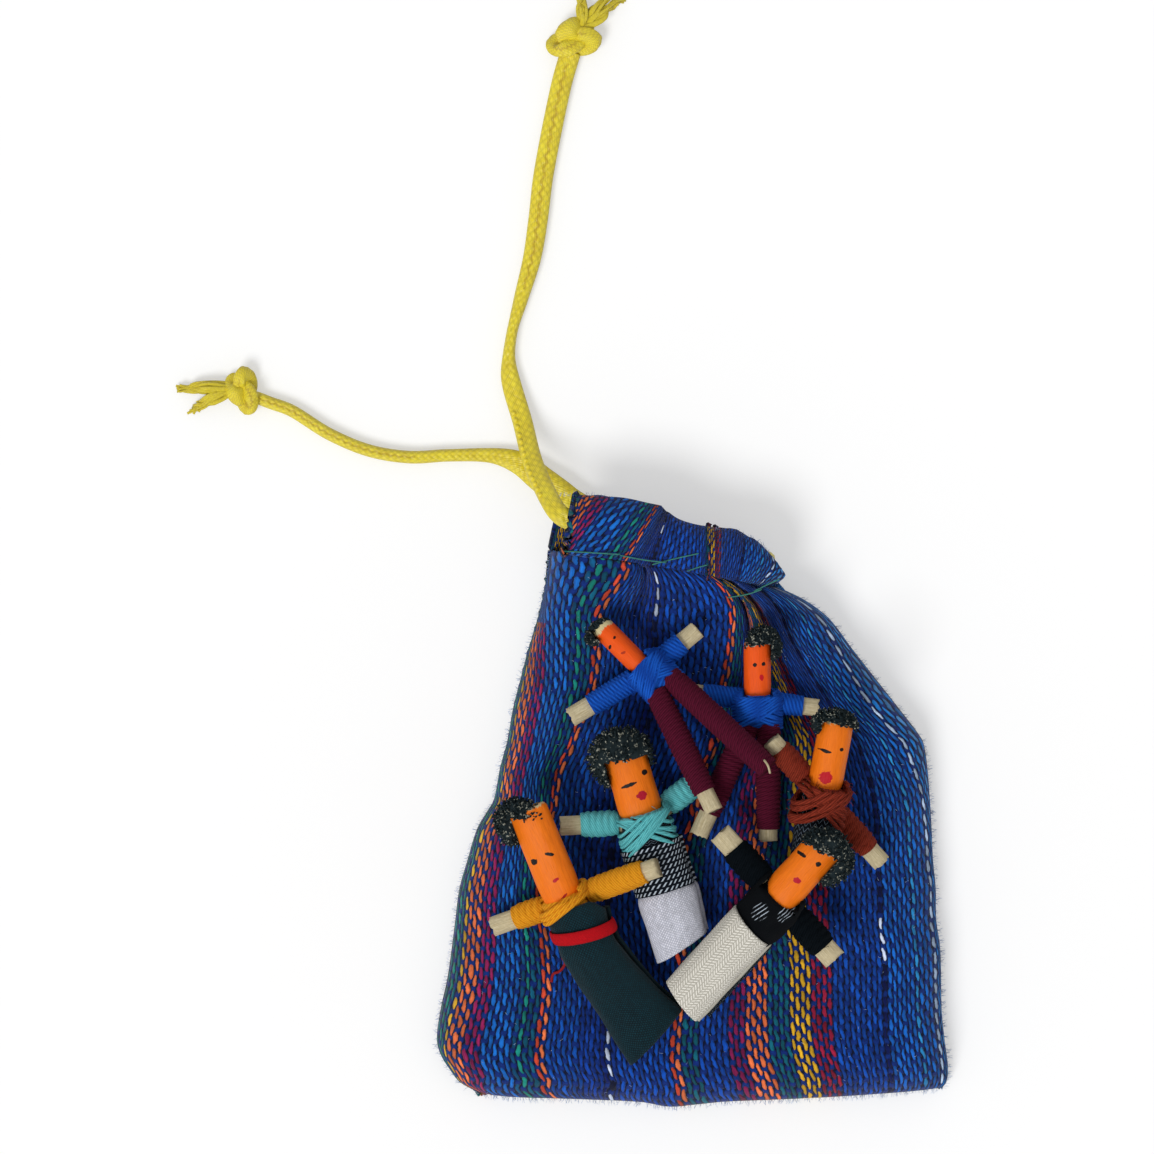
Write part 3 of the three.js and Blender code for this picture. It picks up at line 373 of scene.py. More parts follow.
def finished(bm, name, body, slotName, material, nodes=(), transform=None, outward=True, solid=0):
    if outward:
        bmesh.ops.recalc_face_normals(bm, faces=bm.faces)
    if transform:
        bmesh.ops.transform(bm, matrix=transform, verts=bm.verts)
    bmesh.ops.scale(bm, vec=(mm, mm, mm), verts=bm.verts)
    for face in bm.faces:
        face.smooth = True
    mesh = bpy.data.meshes.new(name)
    bm.to_mesh(mesh)
    bm.free()
    piece = bpy.data.objects.new(name, mesh)
    bpy.context.scene.collection.objects.link(piece)
    mesh.materials.append(material)
    if solid:
        wall = piece.modifiers.new("thickness", "SOLIDIFY")
        wall.thickness = solid * mm
        wall.offset = -1
    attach(piece, body)
    if nodes:
        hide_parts(*nodes)
    return piece


def smoothPath(points, step):  # evenly spaced points on a centripetal curve through the given ones
    points = [Vector(p) for p in points]
    points = [2 * points[0] - points[1], *points, 2 * points[-1] - points[-2]]
    fine = []
    for a, b, c, d in zip(points, points[1:], points[2:], points[3:]):
        ta = 0
        tb = ta + math.sqrt((b - a).length)
        tc = tb + math.sqrt((c - b).length)
        td = tc + math.sqrt((d - c).length)
        for i in range(24):
            t = tb + (tc - tb) * i / 24
            ab = a.lerp(b, (t - ta) / (tb - ta))
            bc = b.lerp(c, (t - tb) / (tc - tb))
            cd = c.lerp(d, (t - tc) / (td - tc))
            first = ab.lerp(bc, (t - ta) / (tc - ta))
            second = bc.lerp(cd, (t - tb) / (td - tb))
            fine.append(first.lerp(second, (t - tb) / (tc - tb)))
    fine.append(points[-2])
    total = sum((q - p).length for p, q in zip(fine, fine[1:]))
    count = max(2, round(total / step))
    even, run, here = [fine[0]], 0, 0
    for i in range(1, count):
        goal = total * i / count
        while run + (fine[here + 1] - fine[here]).length < goal:
            run += (fine[here + 1] - fine[here]).length
            here += 1
        span = (fine[here + 1] - fine[here]).length
        even.append(fine[here].lerp(fine[here + 1], (goal - run) / span))
    even.append(fine[-1])
    return even


# section(turn, share) gives how far a tube's skin lies aside of its path and above it
def tube(path, section, sides, up=Vector((0, 0, 1)), ring=False):
    count = len(path) - 1
    places = []
    for i, point in enumerate(path):
        ahead = path[(i + 1) % count] if ring else path[min(i + 1, count)]
        behind = path[(i - 1) % count] if ring else path[max(i - 1, 0)]
        along = (ahead - behind).normalized()
        aside = up.cross(along)
        if aside.length < 0.05:
            aside = places[-1][1] if places else Vector((1, 0, 0)).cross(along)
        aside.normalize()
        places.append((point, aside, along.cross(aside)))

    def surface(u, v):
        point, aside, rise = places[round(v * count)]
        x, z = section(math.tau * u, v)
        return point + aside * x + rise * z

    return wrapped(sides, count, surface, closed=True)


def cable(path, radius, sides):
    return tube(path, lambda turn, v: (radius * math.cos(turn), radius * math.sin(turn)), sides)


def anyWay(chance):
    return Vector([chance.uniform(-1, 1) for _ in range(3)])


def follow(table, t):  # a smooth line through a table of (place, value)
    if t <= table[0][0]:
        return table[0][1]
    if t >= table[-1][0]:
        return table[-1][1]
    k = next(i for i in range(len(table) - 1) if t <= table[i + 1][0])
    (a, low), (b, high) = table[k], table[k + 1]

    def slope(i):
        before, after = table[max(i - 1, 0)], table[min(i + 1, len(table) - 1)]
        return (after[1] - before[1]) / (after[0] - before[0])

    share = (t - a) / (b - a)
    bend = slope(k) * share * (1 - share) ** 2 - slope(k + 1) * share ** 2 * (1 - share)
    return low * (1 + 2 * share) * (1 - share) ** 2 + high * share ** 2 * (3 - 2 * share) + (b - a) * bend


def eased(low, high, value):
    share = min(max((value - low) / (high - low), 0), 1)
    return share * share * (3 - 2 * share)


def waves(x, y, z, size):  # soft noise from -1 to 1
    return noise.noise(Vector((x, y, z)) / size)


# The pouch

pouch = {
    "leftEdge": [  # how far up, how far across
        (0, -23.4), (0.02, -25.6), (0.045, -26.8), (0.07, -27.75), (0.1, -28.2), (0.157, -27.75),
        (0.21, -27.05), (0.267, -26.55), (0.32, -26.15), (0.377, -25.7), (0.43, -24.8), (0.487, -23.75),
        (0.52, -22.6), (0.54, -21.9), (0.6, -21.2), (0.65, -20.4), (0.707, -19.8), (0.76, -19),
        (0.817, -18.1), (0.87, -17.1), (0.927, -16.3), (1, -15.6),
    ],
    "rightEdge": [
        (0, 27.6), (0.01, 28.1), (0.04, 28.3), (0.1, 27.9), (0.157, 27.6), (0.277, 27.45), (0.337, 27),
        (0.397, 26.95), (0.456, 26.65), (0.516, 26.5), (0.576, 26.3), (0.636, 26.05), (0.68, 25.7),
        (0.7, 25.3), (0.755, 23), (0.815, 20.4), (0.875, 17.8), (0.935, 15.3), (0.965, 13.3), (0.985, 11.4),
        (1, 9.4),
    ],
    "bottom": [
        (0, -32.9), (0.06, -33.3), (0.17, -33.5), (0.23, -33.6), (0.35, -33.9), (0.41, -34.4), (0.47, -34.15),
        (0.53, -33.85), (0.65, -33.6), (0.77, -33.3), (0.9, -32.85), (0.955, -32.6), (1, -32.3),
    ],
    "top": ((-15.62, 27.1), (9.37, 23.01)),
    "rim": 0.95, "rise": 7.4, "neckRise": 1.9, "edgeRound": 6.0, "relief": 0.16, "wall": 0.7,
    "backRise": 0.72, "backRelief": 0.07, "columns": 98, "picks": 66,
    "crowded": 10, "crowding": (0.8, 0.87),  # the last column that crowds along the left edge, and how far up
    "creases": [(28, 5.5, 1.9), (55, 9, 2.6), (71, 5, 1.8), (83, 5, 1.6)],  # middle column, half width, depth
}

stripes = [  # colour and number of warp threads, from left to right
    ("#0A626C", 1), ("#128070", 1), ("#0A626C", 1), ("#D0A028", 1), ("#D4683C", 3), ("#861A50", 3),
    ("#1462B8", 5), ("#0A4E78", 1), ("#147C70", 1), ("#0A5470", 2), ("#CE4830", 1), ("#D46C40", 1),
    ("#0C4AA2", 6), ("#0A3890", 4), ("#061C64", 1), ("#030C30", 1), ("#0A3080", 1), ("#0B46A4", 10),
    ("#CE4830", 1), ("#D46C40", 1), ("#0A5668", 3), ("#0B429C", 5), ("#761648", 3), ("#D4683C", 4),
    ("#0A5668", 4), ("#D0A024", 4), ("#861634", 4), ("#0B449E", 9), ("#041044", 1), ("#145EB8", 6),
    ("#2A8CCC", 1), ("#1262BA", 3), ("#B4CCEC", 1), ("#1A74C4", 2), ("#4C90D4", 1), ("#1A74C4", 1),
]
warp = [colour(code) for code, count in stripes for _ in range(count)]
whiteFloats = {32: (0, 4, 6, 8, 60, 62, 64), 82: (18, 20, 22)}  # column, picks
hemWhites = {32: (24,)}

columnPlaces = [0, 4, 10, 20.5, 33, 45.5, 61, 73, 82.5, 90, 93, 94, 98]
columnShares = {  # how far up, where each of those columns lies as a share of the width
    0: [0, 0.004, 0.03, 0.168, 0.293, 0.451, 0.652, 0.78, 0.88, 0.955, 0.982, 0.99, 1],
    0.05: [0, 0.014, 0.075, 0.2, 0.335, 0.468, 0.655, 0.783, 0.88, 0.955, 0.982, 0.99, 1],
    0.2: [0, 0.031, 0.095, 0.208, 0.337, 0.475, 0.645, 0.775, 0.88, 0.95, 0.98, 0.989, 1],
    0.57: [0, 0.014, 0.06, 0.139, 0.30, 0.46, 0.63, 0.76, 0.865, 0.943, 0.975, 0.984, 1],
    0.68: [0, 0.014, 0.062, 0.165, 0.33, 0.495, 0.645, 0.755, 0.835, 0.905, 0.943, 0.955, 1],
    0.76: [0, 0.014, 0.064, 0.196, 0.36, 0.53, 0.66, 0.745, 0.815, 0.88, 0.918, 0.932, 1],
    0.82: [0, 0.008, 0.048, 0.202, 0.37, 0.575, 0.675, 0.745, 0.81, 0.88, 0.924, 0.939, 1],
    0.91: [0, 0.001, 0.013, 0.206, 0.385, 0.638, 0.70, 0.755, 0.81, 0.89, 0.945, 0.962, 1],
    1: [0, 0.001, 0.003, 0.344, 0.445, 0.70, 0.73, 0.77, 0.85, 0.93, 0.955, 0.972, 1],
}

lostColumns = {  # columns hidden in a fold: first, last, and the one whose colour shows instead
    "front": (3, 10, 11), "hem": (44, 46, 43), "rear": (3, 10, 66.5),
}

casingColumns = [
    (0, 0), (4, 0.02), (10, 0.088), (15.5, 0.24), (20.5, 0.332), (33, 0.455), (45, 0.683), (65, 0.7),
    (69, 0.735), (73, 0.757), (90, 0.91), (98, 1),
]

casing = {
    "length": 20.12, "bend": 3.8, "front": 9.0, "back": 1.4, "thick": 1.3, "puff": 1.2, "wall": 0.5,
    "reach": 24.9, "picks": 26, "start": Vector((-15.62, 27.1, 0)), "turn": math.atan2(-4.09, 24.99),
    "topEdge": [
        (0, 6.4), (3.1, 6.9), (6.5, 6.8), (9.8, 6.6), (13.3, 5.6), (16.8, 5.3), (19.9, 5.5), (22.7, 4.6),
        (24.1, 3.4), (25, 2.1),
    ],
    "shear": [(0, 1.5), (2, 3.2), (8.3, 2.5), (11.1, 0.85), (18, -1.2), (20, 0)],  # how far its columns slant
    "cutBack": (3.3, 4.4),  # the open end is cut back between these heights, over the cord
}

shareTables = {}  # each column's own table, made when it is first asked for


def columnShare(column, up):
    if column not in shareTables:
        shareTables[column] = [(high, follow(list(zip(columnPlaces, row)), column))
                               for high, row in columnShares.items()]
    share = follow(shareTables[column], up)
    last = pouch["crowded"]
    if column < last:  # near the mouth the outer threads crowd along the edge, still in their order
        share += eased(*pouch["crowding"], up) * (columnShare(last, up) * (column / last) ** 2 - share)
    return share


def pouchPlace(share, up):
    left, right = follow(pouch["leftEdge"], up), follow(pouch["rightEdge"], up)
    (leftX, leftTop), (rightX, rightTop) = pouch["top"]
    high = leftTop + (rightTop - leftTop) * share
    low = follow(pouch["bottom"], share)
    return Vector((left + (right - left) * share, low + (high - low) * up, 0)), right - left


def creaseAt(column, up):
    deep = sum(depth * max(0, 1 - abs(column - middle) / half) ** 1.5
               for middle, half, depth in pouch["creases"])
    return eased(0.62, 0.97, up) * deep


def edgeRise(distance):
    share = min(max(distance, 0) / pouch["edgeRound"], 1)
    return math.sqrt(1 - (1 - share) ** 2)


def floatRise(column, pick):  # the height of the threads, 0 to 1, as in the weave group
    whole = math.floor(column + 0.0005)
    near = abs((pick + whole) % 2 - 0.5)
    near = min(near, 2 - near)
    across = (column - whole - 0.5) * 2.3
    over = math.sqrt(max(0, 1 - across ** 2 - (near / 0.84) ** 2))
    under = 0.7 * math.sqrt(max(0, 1 - ((1 - near) / 0.5) ** 2))
    return max(over, under)


def frontSkin(u, v):
    columns = pouch["columns"]
    column, pick = u * columns, v * pouch["picks"]
    tight = eased(14, pouch["crowded"], column) * eased(*pouch["crowding"], v)
    inside = eased(0, 3, column) * eased(columns, columns - 3, column)
    stray = 0.2 * (1 - tight) * inside * waves(column * 0.9, pick * 0.35, 7, 1)
    share = columnShare(round(column, 3), v) + stray / columns
    sway = 0.0022 * math.sin(math.pi * v) * waves(column * 0.7, v * 40, 21, 1)
    place, width = pouchPlace(share, v + sway)
    puff = pouch["rise"] + pouch["neckRise"] * eased(0.88, 1, v) - creaseAt(column, v)
    slack = 0.35 * (1 + waves(place.x, place.y, 3, 9)) + 0.12 * (1 + waves(place.x, place.y, 8, 3.5))
    edge = edgeRise(min(share, 1 - share) * width) * edgeRise(v * 60)
    relief = pouch["relief"] * (1 - eased(12, 8, column) * eased(0.82, 0.9, v))
    place.z = pouch["rim"] + edge * (puff - slack) + relief * floatRise(column, pick)
    return place


def paintWarp(bm, columnOf, picks=pouch["picks"], whites=whiteFloats):  # faces take their thread's colour
    stripe = bm.loops.layers.float_color.new("stripe")
    layer = bm.loops.layers.uv.active
    for face in bm.faces:
        u = sum(loop[layer].uv.x for loop in face.loops) / len(face.loops)
        v = sum(loop[layer].uv.y for loop in face.loops) / len(face.loops)
        whole = min(int(columnOf(u, v)), len(warp) - 1)
        white = pickRow(whole, v * picks) in whites.get(whole, ())
        for loop in face.loops:
            loop[stripe] = colour("#C0CCE4") if white else warp[whole]


def pickRow(column, pick):  # the number of the float that a place lies on
    return math.floor((pick + column + 0.5) / 2) * 2 - column


def stripedCloth():
    material, tree, shader = newMaterial("striped cloth", 0.85, sheen=0.12, specular=0.12)
    uv = uvOf(tree)
    strays = []  # no two floats are quite the same
    for scales, size in (((55, 60, 1), 0.0085), ((70, 34, 1), 0.012)):
        strays.append(calc(tree, "MULTIPLY", calc(tree, "SUBTRACT", speckle(tree, uv, scales), 0.5), size))
    shifted = tree.nodes.new("ShaderNodeVectorMath")
    tree.links.new(uv, shifted.inputs[0])
    tree.links.new(combined(tree, *strays), shifted.inputs[1])
    cloth = place(tree, groups["weave"], UV=shifted.outputs[0], Columns=float(pouch["columns"]),
                  Picks=float(pouch["picks"]), Float_Length=0.8, Lean=0.4)
    stripe = tree.nodes.new("ShaderNodeAttribute")
    stripe.attribute_name = "stripe"
    warpThread = shaded(tree, stripe.outputs["Color"], 0.62, 1.36, cloth["Variation"])
    warpThread = shaded(tree, warpThread, 0.3, 1.75, cloth["Fibre"])
    weft = shaded(tree, "#09286E", 0.15, 1.9, cloth["Fibre"])
    # painted shade: each weft knot is darkened towards its edges, where it dips under the warp
    weft = shaded(tree, weft, 0.3, 1.25, cloth["Weft"])
    threads = mixColours(tree, cloth["Warp"], weft, warpThread)
    threads = shaded(tree, threads, 0.7, 1.3, speckle(tree, uv, (14, 14, 1), 3.0, 0.6))
    # painted shade: the whole cloth is darkened where its threads lie low, in the gaps between the floats
    painted(tree, shader, shaded(tree, threads, 0.5, 1.1, cloth["Height"]))
    raised(tree, shader, calc(tree, "MULTIPLY_ADD", cloth["Fibre"], 0.6, cloth["Height"]), 0.8, 0.2)
    return material


def casingPlace(way):
    length, bend = casing["length"], casing["bend"]
    if way <= length:
        return way, casing["front"], 0
    if way >= length + math.pi * bend:
        return 2 * length + math.pi * bend - way, casing["back"], math.pi
    angle = (way - length) / bend
    middle = (casing["front"] + casing["back"]) / 2
    return length + bend * math.sin(angle), middle + bend * math.cos(angle), angle


def toMouth(x, y, z):  # from the casing's own frame to the row's
    return Matrix.Rotation(casing["turn"], 3, "Z") @ Vector((x, y, z)) + casing["start"]


def casingSkin(u, v):  # u runs along the tunnel and v round it
    length, bend = casing["length"], casing["bend"]
    column = pouch["columns"] * (2 * u if u < 0.5 else 2 - 2 * u)
    x = follow(casingColumns, column) * casing["reach"]
    turn = math.tau * (v + 0.25)
    topEdge = follow(casing["topEdge"], x)
    y = topEdge / 2 - 0.1 + (topEdge / 2 + 0.1) * math.cos(turn)
    if u < 0.5:
        x = min(max(x + follow(casing["shear"], x) * y / 6.5, 1.6 + 0.04 * y), casing["reach"])
    way = x if x <= length else length + bend * math.asin(min((x - length) / 4.8, 1))
    if u > 0.5:
        way = 2 * length + math.pi * bend - way
    x, z, angle = casingPlace(way)
    crumple = creaseAt(column, 1) / 1.9
    puff = (casing["puff"] * max(0, 1 - crumple) + 0.3 * waves(x, way, 5, 1.3)) * eased(0.62, 0.5, u)
    puff *= 0.2 + 0.8 * eased(-1, 0.5, math.cos(turn))
    thick = casing["thick"]
    if math.sin(turn) > 0:  # the outer side
        thick += puff * math.sin(turn)
        y -= 0.7 * min(crumple, 1) * max(0, math.cos(turn))
    if u > 0.5:
        x += (0.07 * y + 2.0 * eased(*casing["cutBack"], y)) * max(0, 1 - x / 6)
    x -= 0.3 * eased(14, 25, x)
    rise = thick * math.copysign(abs(math.sin(turn)) ** 0.7, math.sin(turn))
    rise += pouch["relief"] * (floatRise(column, v * casing["picks"]) - 0.5)
    return toMouth(x + rise * math.sin(angle), y, max(z + rise * math.cos(angle), 0.05))


def shownColumn(part, column):
    first, last, shown = lostColumns[part]
    return shown if first <= column < last else column


def buildPouch():
    cloth = stripedCloth()
    columns, picks = pouch["columns"], pouch["picks"]

    def frontColumn(u, v):
        return shownColumn("front", u * columns) if v > pouch["crowding"][1] else u * columns

    def backSkin(u, v):
        place, width = pouchPlace(columnShare(round(u * columns, 3), v), v)
        place.z = pouch["backRise"] + pouch["backRelief"] * floatRise(u * columns, v * picks)
        return place

    def tunnelColumn(u, v):
        return shownColumn("hem", columns * 2 * u) if u < 0.5 else shownColumn("rear", columns * (2 - 2 * u))

    front = wrapped(2 * columns, 3 * picks, frontSkin)
    paintWarp(front, frontColumn)
    skins = [BVHTree.FromBMesh(front)]
    panel = finished(front, "pouch_front_cloth", "pouch", "striped_cloth", cloth, ["pouch_front"],
                     solid=pouch["wall"])
    back = wrapped(2 * columns, 2 * picks, backSkin)
    paintWarp(back, lambda u, v: u * columns)
    lower = finished(back, "pouch_back_cloth", "pouch", "striped_cloth", cloth, ["pouch_back"],
                     solid=pouch["wall"])

    tunnel = wrapped(380, 28, casingSkin)
    paintWarp(tunnel, tunnelColumn, casing["picks"], hemWhites)
    for face in tunnel.faces:
        for loop in face.loops:
            spot = loop[tunnel.loops.layers.uv.active].uv
            spot.x = 2 * spot.x if face.calc_center_median().z > 5 else 2 - 2 * spot.x
            spot.y *= casing["picks"] / picks
    bmesh.ops.remove_doubles(tunnel, verts=tunnel.verts, dist=1e-4)
    skins.append(BVHTree.FromBMesh(tunnel))
    hem = finished(tunnel, "drawstring_casing_cloth", "pouch", "striped_cloth", cloth, ["drawstring_casing"],
                   solid=casing["wall"])
    buildStitches(skins)
    buildFuzz(skins)
    print("pouch ready")


def onTop(skins, x, y):  # the highest place of the pouch's cloth at a point, or nothing
    down = Vector((0, 0, -1))
    found = [skin.ray_cast(Vector((x, y, 40)), down)[:2] for skin in skins]
    found = [hit for hit in found if hit[0]]
    return max(found, key=lambda hit: hit[0].z) if found else None


stitches = {  # the seam's long floats of sewing thread, as seen from above, and the red stray thread
    "thick": 0.07, "strayThick": 0.16,
    "runs": [
        [(-14.7, 27.0), (-11.3, 26.8), (-8.0, 26.6)], [(-8.0, 26.5), (-5.4, 26.0), (-3.0, 25.7)],
        [(-4.5, 25.5), (-2.2, 26.1), (0.5, 26.7)], [(-0.7, 24.8), (0.5, 25.2), (1.6, 25.5)],
        [(3.7, 21.9), (6.0, 22.3), (7.4, 22.8)], [(6.6, 22.6), (8.2, 23.4), (9.3, 23.9)],
    ],
    "stray": [(-15.5, -20.1), (-15.3, -19.2), (-14.6, -18.9), (-14.0, -18.0), (-14.3, -17.4)],
}


def laidThread(skins, run, thick):
    path = []
    for point in smoothPath([(*p, 0) for p in run], 0.25):
        hit = onTop(skins, point.x, point.y)
        high = hit[0].z if hit else 8.5
        path.append(Vector((point.x, point.y, max(high, path[-1].z - 0.12 if path else 0) + 0.15)))
    return cable(path, thick, 6)


def buildStitches(skins):
    material, tree, shader = newMaterial("sewing thread", 0.6, sheen=0.2)
    fine = speckle(tree, spotOf(tree), (2500, 2500, 2500))
    painted(tree, shader, mixColours(tree, fine, "#0C4C48", "#34907C"))
    threads = [laidThread(skins, run, stitches["thick"]) for run in stitches["runs"]]
    finished(joined(*threads), "seam_stitches", "pouch", "striped_cloth", material)
    red, tree, shader = newMaterial("red thread", 0.8)
    shader.inputs["Base Color"].default_value = colour("#8C1018")
    stray = laidThread(skins, stitches["stray"], stitches["strayThick"])
    finished(stray, "stray_red_thread", "pouch", "striped_cloth", red)


fuzz = {"edge": 1500, "face": 300, "length": (0.15, 0.6), "thick": 0.02}


def buildFuzz(skins):  # loose fibres that stand off the cloth, most of them along its edges
    material, tree, shader = newMaterial("loose fibres", 0.9)
    soft = speckle(tree, spotOf(tree), (350, 350, 350))
    painted(tree, shader, mixColours(tree, soft, "#5088D0", "#E8F0F8"))
    chance = random.Random(5)
    hairs = []

    def hair(root, out, long):
        side = out.cross(anyWay(chance)).normalized()
        bend = chance.uniform(-0.5, 0.5)
        points = [root + out * (long * t) + side * (long * bend * t * t) for t in (-0.15, 0.2, 0.6, 1)]
        hairs.append(cable(points, fuzz["thick"], 3))

    for _ in range(fuzz["edge"]):
        way = chance.uniform(0, 3.4)
        if way < 1:
            (place, _), out = pouchPlace(0, way), (-1, chance.uniform(-0.6, 0.6), chance.uniform(0, 1))
        elif way < 2:
            (place, _), out = pouchPlace(1, way - 1), (1, chance.uniform(-0.5, 0.7), chance.uniform(0, 1))
        elif way < 3:
            (place, _), out = pouchPlace(way - 2, 0), (chance.uniform(-0.6, 0.6), -1, chance.uniform(0, 1))
        else:
            x = (way - 3) / 0.4 * 24
            place = toMouth(x, follow(casing["topEdge"], x) - 0.45, 0)
            place.z = casing["front"]
            out = (chance.uniform(-0.2, 0.8), 1, chance.uniform(-0.3, 0.7))
        place.z = max(place.z, 1.0 + chance.uniform(0, 0.9))
        hair(place, Vector(out).normalized(), chance.uniform(*fuzz["length"]))
    for _ in range(fuzz["face"]):
        x, y = chance.uniform(-27, 27), chance.uniform(-33, 33)
        hit = onTop(skins, x, y)
        if hit and hit[1].z > 0.2:
            lean = Vector((chance.uniform(-1, 1), chance.uniform(-1, 1), 0)) * 0.9
            hair(hit[0], (hit[1] + lean).normalized(), chance.uniform(0.2, 0.45))
    finished(joined(*hairs), "pouch_fuzz", "pouch", "striped_cloth", material)


# The drawstring

cordShape = {
    "width": 2.2, "thick": 1.3, "groove": 0.2, "plait": 0.07, "pitch": 0.8,
    "upper": [
        (-3.26, 28.33, 9), (-9.17, 29.39, 9), (-13.6, 30.4, 9), (-14.7, 31.1, 8.9), (-16.1, 33.4, 7.2),
        (-17.6, 36.9, 4.3), (-18.7, 41.2, 1.7), (-20.2, 46.9, 0.8), (-20, 50.6, 0.8), (-18.9, 54.9, 0.8),
        (-17.7, 59.3, 0.8), (-17, 63.7, 0.8), (-16.5, 68, 0.8), (-15.7, 72.5, 0.8), (-14.8, 76.9, 0.8),
        (-14.3, 79.1, 0.8), (-13.7, 81.2, 0.8), (-13.4, 82.2, 0.9),
    ],
    "left": [
        (-3.26, 28.33, 1.4), (-9.01, 30.33, 1.4), (-13.0, 32.3, 1.6), (-14.8, 33.6, 1.6), (-16.6, 34.9, 1.3),
        (-18.8, 36.6, 1), (-21.6, 37.5, 0.8), (-26.8, 37.6, 0.8), (-31.2, 37.4, 0.8), (-35.6, 38.1, 0.8),
        (-40, 39.9, 0.8), (-44.4, 42.6, 0.8), (-46.6, 43.4, 0.8), (-47.9, 43.9, 0.8), (-48.9, 44.2, 0.9),
    ],
    "upperWidths": [
        (0, 1), (26, 1), (30, 0.95), (33, 0.62), (36, 0.56), (39, 0.72), (44, 0.92), (50, 1), (70, 1.05),
    ],
    "leftWidths": [(0, 1), (12, 1.35), (17, 1.3), (22, 0.72), (30, 0.64), (52, 0.62)],
    "beads": {"first": 15, "last": 27, "spacing": 0.86, "radius": 0.28, "aside": 0.68, "up": 0.58},
}
cordEnds = {
    "upper": {
        "knot": (-13.0, 83.6, 1.35), "turn": 62, "shape": (1.22, 0.8, 1), "root": (-12.0, 84.9, 1.4),
        "strands": 34, "tips": [(-7.6, 88.2, 0.7), (-8.6, 89.2, 0.7), (-12.3, 88.6, 0.8)], "seed": 8,
    },
    "left": {
        "knot": (-49.6, 44.8, 1.35), "turn": 150, "shape": (0.68, 1.05, 1), "root": (-50.6, 45.1, 1.4),
        "strands": 34, "tips": [(-57.0, 45.0, 0.6), (-55.4, 42.6, 0.6)], "seed": 9,
    },
}


def cordSection(length, widths):  # a plaited braid: two satin lobes with a groove between them
    def section(turn, share):
        wide = follow(widths, share * length)
        x = cordShape["width"] / 2 * math.cos(turn) * wide
        z = cordShape["thick"] / 2 * math.sin(turn) * (1.5 - 0.5 * wide)
        z *= 1 - cordShape["groove"] * math.exp(-((x / (0.26 * wide)) ** 2))
        ridge = abs(math.sin(math.pi * (share * length + 0.9 * abs(x)) / cordShape["pitch"]))
        return x, z * (1 + cordShape["plait"] * (2 * ridge - 1.4))
    return section


def satin():
    material, tree, shader = newMaterial("yellow satin", 0.36, sheen=0.1, specular=0.5)
    do = partial(calc, tree)
    uv = uvOf(tree)
    fibres = place(tree, groups["strand"], UV=uv, Plies=34.0, Twists=60.0, Fuzz=1.2)
    around, along = axes(tree, uv)
    rising, falling = [do("PINGPONG", do("MULTIPLY_ADD", around, 14, do("MULTIPLY", along, slope)), 1)
                       for slope in (130, -130)]
    scales = do("POWER", do("MULTIPLY", rising, falling), 0.4)
    patches = speckle(tree, uv, (3, 26, 1), 3.0, 0.6)
    base = mixColours(tree, patches, "#CCAE0A", "#FCEE38")
    # painted shade and highlight: the satin is darkened in the grooves between the plait's scales and its
    # fibres, and lightened on their crests
    base = shaded(tree, shaded(tree, base, 0.8, 1.12, fibres["Fibre"]), 0.8, 1.14, scales)
    sway = do("MULTIPLY", do("PINGPONG", do("MULTIPLY", along, 96), 1), 0.05)  # a stitched line down one side
    off = do("ABSOLUTE", do("ADD", do("SUBTRACT", around, 0.275), sway))
    line = clamped(tree, "MULTIPLY", do("SUBTRACT", 0.04, off), 28)
    there = do("MULTIPLY", do("GREATER_THAN", along, 0.6), do("LESS_THAN", along, 0.98))
    line = do("MULTIPLY", do("MULTIPLY", line, there), 0.6)
    painted(tree, shader, mixColours(tree, line, base, "#A88408"))
    tree.links.new(do("MULTIPLY_ADD", fibres["Fibre"], 0.25, 0.26), shader.inputs["Roughness"])
    raised(tree, shader, do("MULTIPLY_ADD", scales, 1.2, fibres["Height"]), 0.5, 0.06)
    return material


def knotMesh(end):  # an overhand knot of the flat cord, pulled nearly tight
    spots = []
    for k in range(121):
        t = math.tau * k / 120
        x = 0.8 * (math.sin(t) + 1.75 * math.sin(2 * t))
        y = 0.58 * (math.cos(t) - 1.75 * math.cos(2 * t))
        spots.append(Vector((x, y, -0.62 * math.sin(3 * t))))

    def section(turn, share):
        x, z = math.cos(turn), math.sin(turn)
        fold = 1 + 0.1 * math.sin(3 * turn + 40 * share) + 0.1 * waves(4 * x, 4 * z, 30 * share, 1)
        return x * fold, 0.55 * z * fold

    bm = tube(spots, section, 22, ring=True)
    shape = Matrix.Diagonal((*end["shape"], 1)) @ Matrix.Rotation(math.radians(end["turn"]), 4, "Z")
    return turned(bm, Matrix.Translation(end["knot"]) @ shape)


def tuftMesh(end):  # the cord's end, opened into flat strands that lie together in lobes
    chance = random.Random(end["seed"])
    root, strands = Vector(end["root"]), []

    def near(place, stray):
        return place + Vector([stray * chance.uniform(-1, 1) for _ in range(3)])

    for k in range(end["strands"]):
        tip = root.lerp(Vector(end["tips"][k % len(end["tips"])]), chance.uniform(0.8, 1))
        middle = near(root.lerp(tip, 0.5), 0.55) + Vector((0, 0, 0.3))
        start = near(root, 0.3) * 0.8 + Vector(end["knot"]) * 0.2
        path = [start, middle, near(root.lerp(tip, 0.8), 0.45), near(tip, 0.5)]
        path = [Vector((spot.x, spot.y, max(spot.z, 0.3))) for spot in path]
        wide = chance.uniform(0.22, 0.42)

        def section(turn, share):
            return wide * math.cos(turn) * (1.1 - 0.75 * share), 0.11 * math.sin(turn)

        strands.append(tube(smoothPath(path, 0.3), section, 8))
    return joined(*strands)


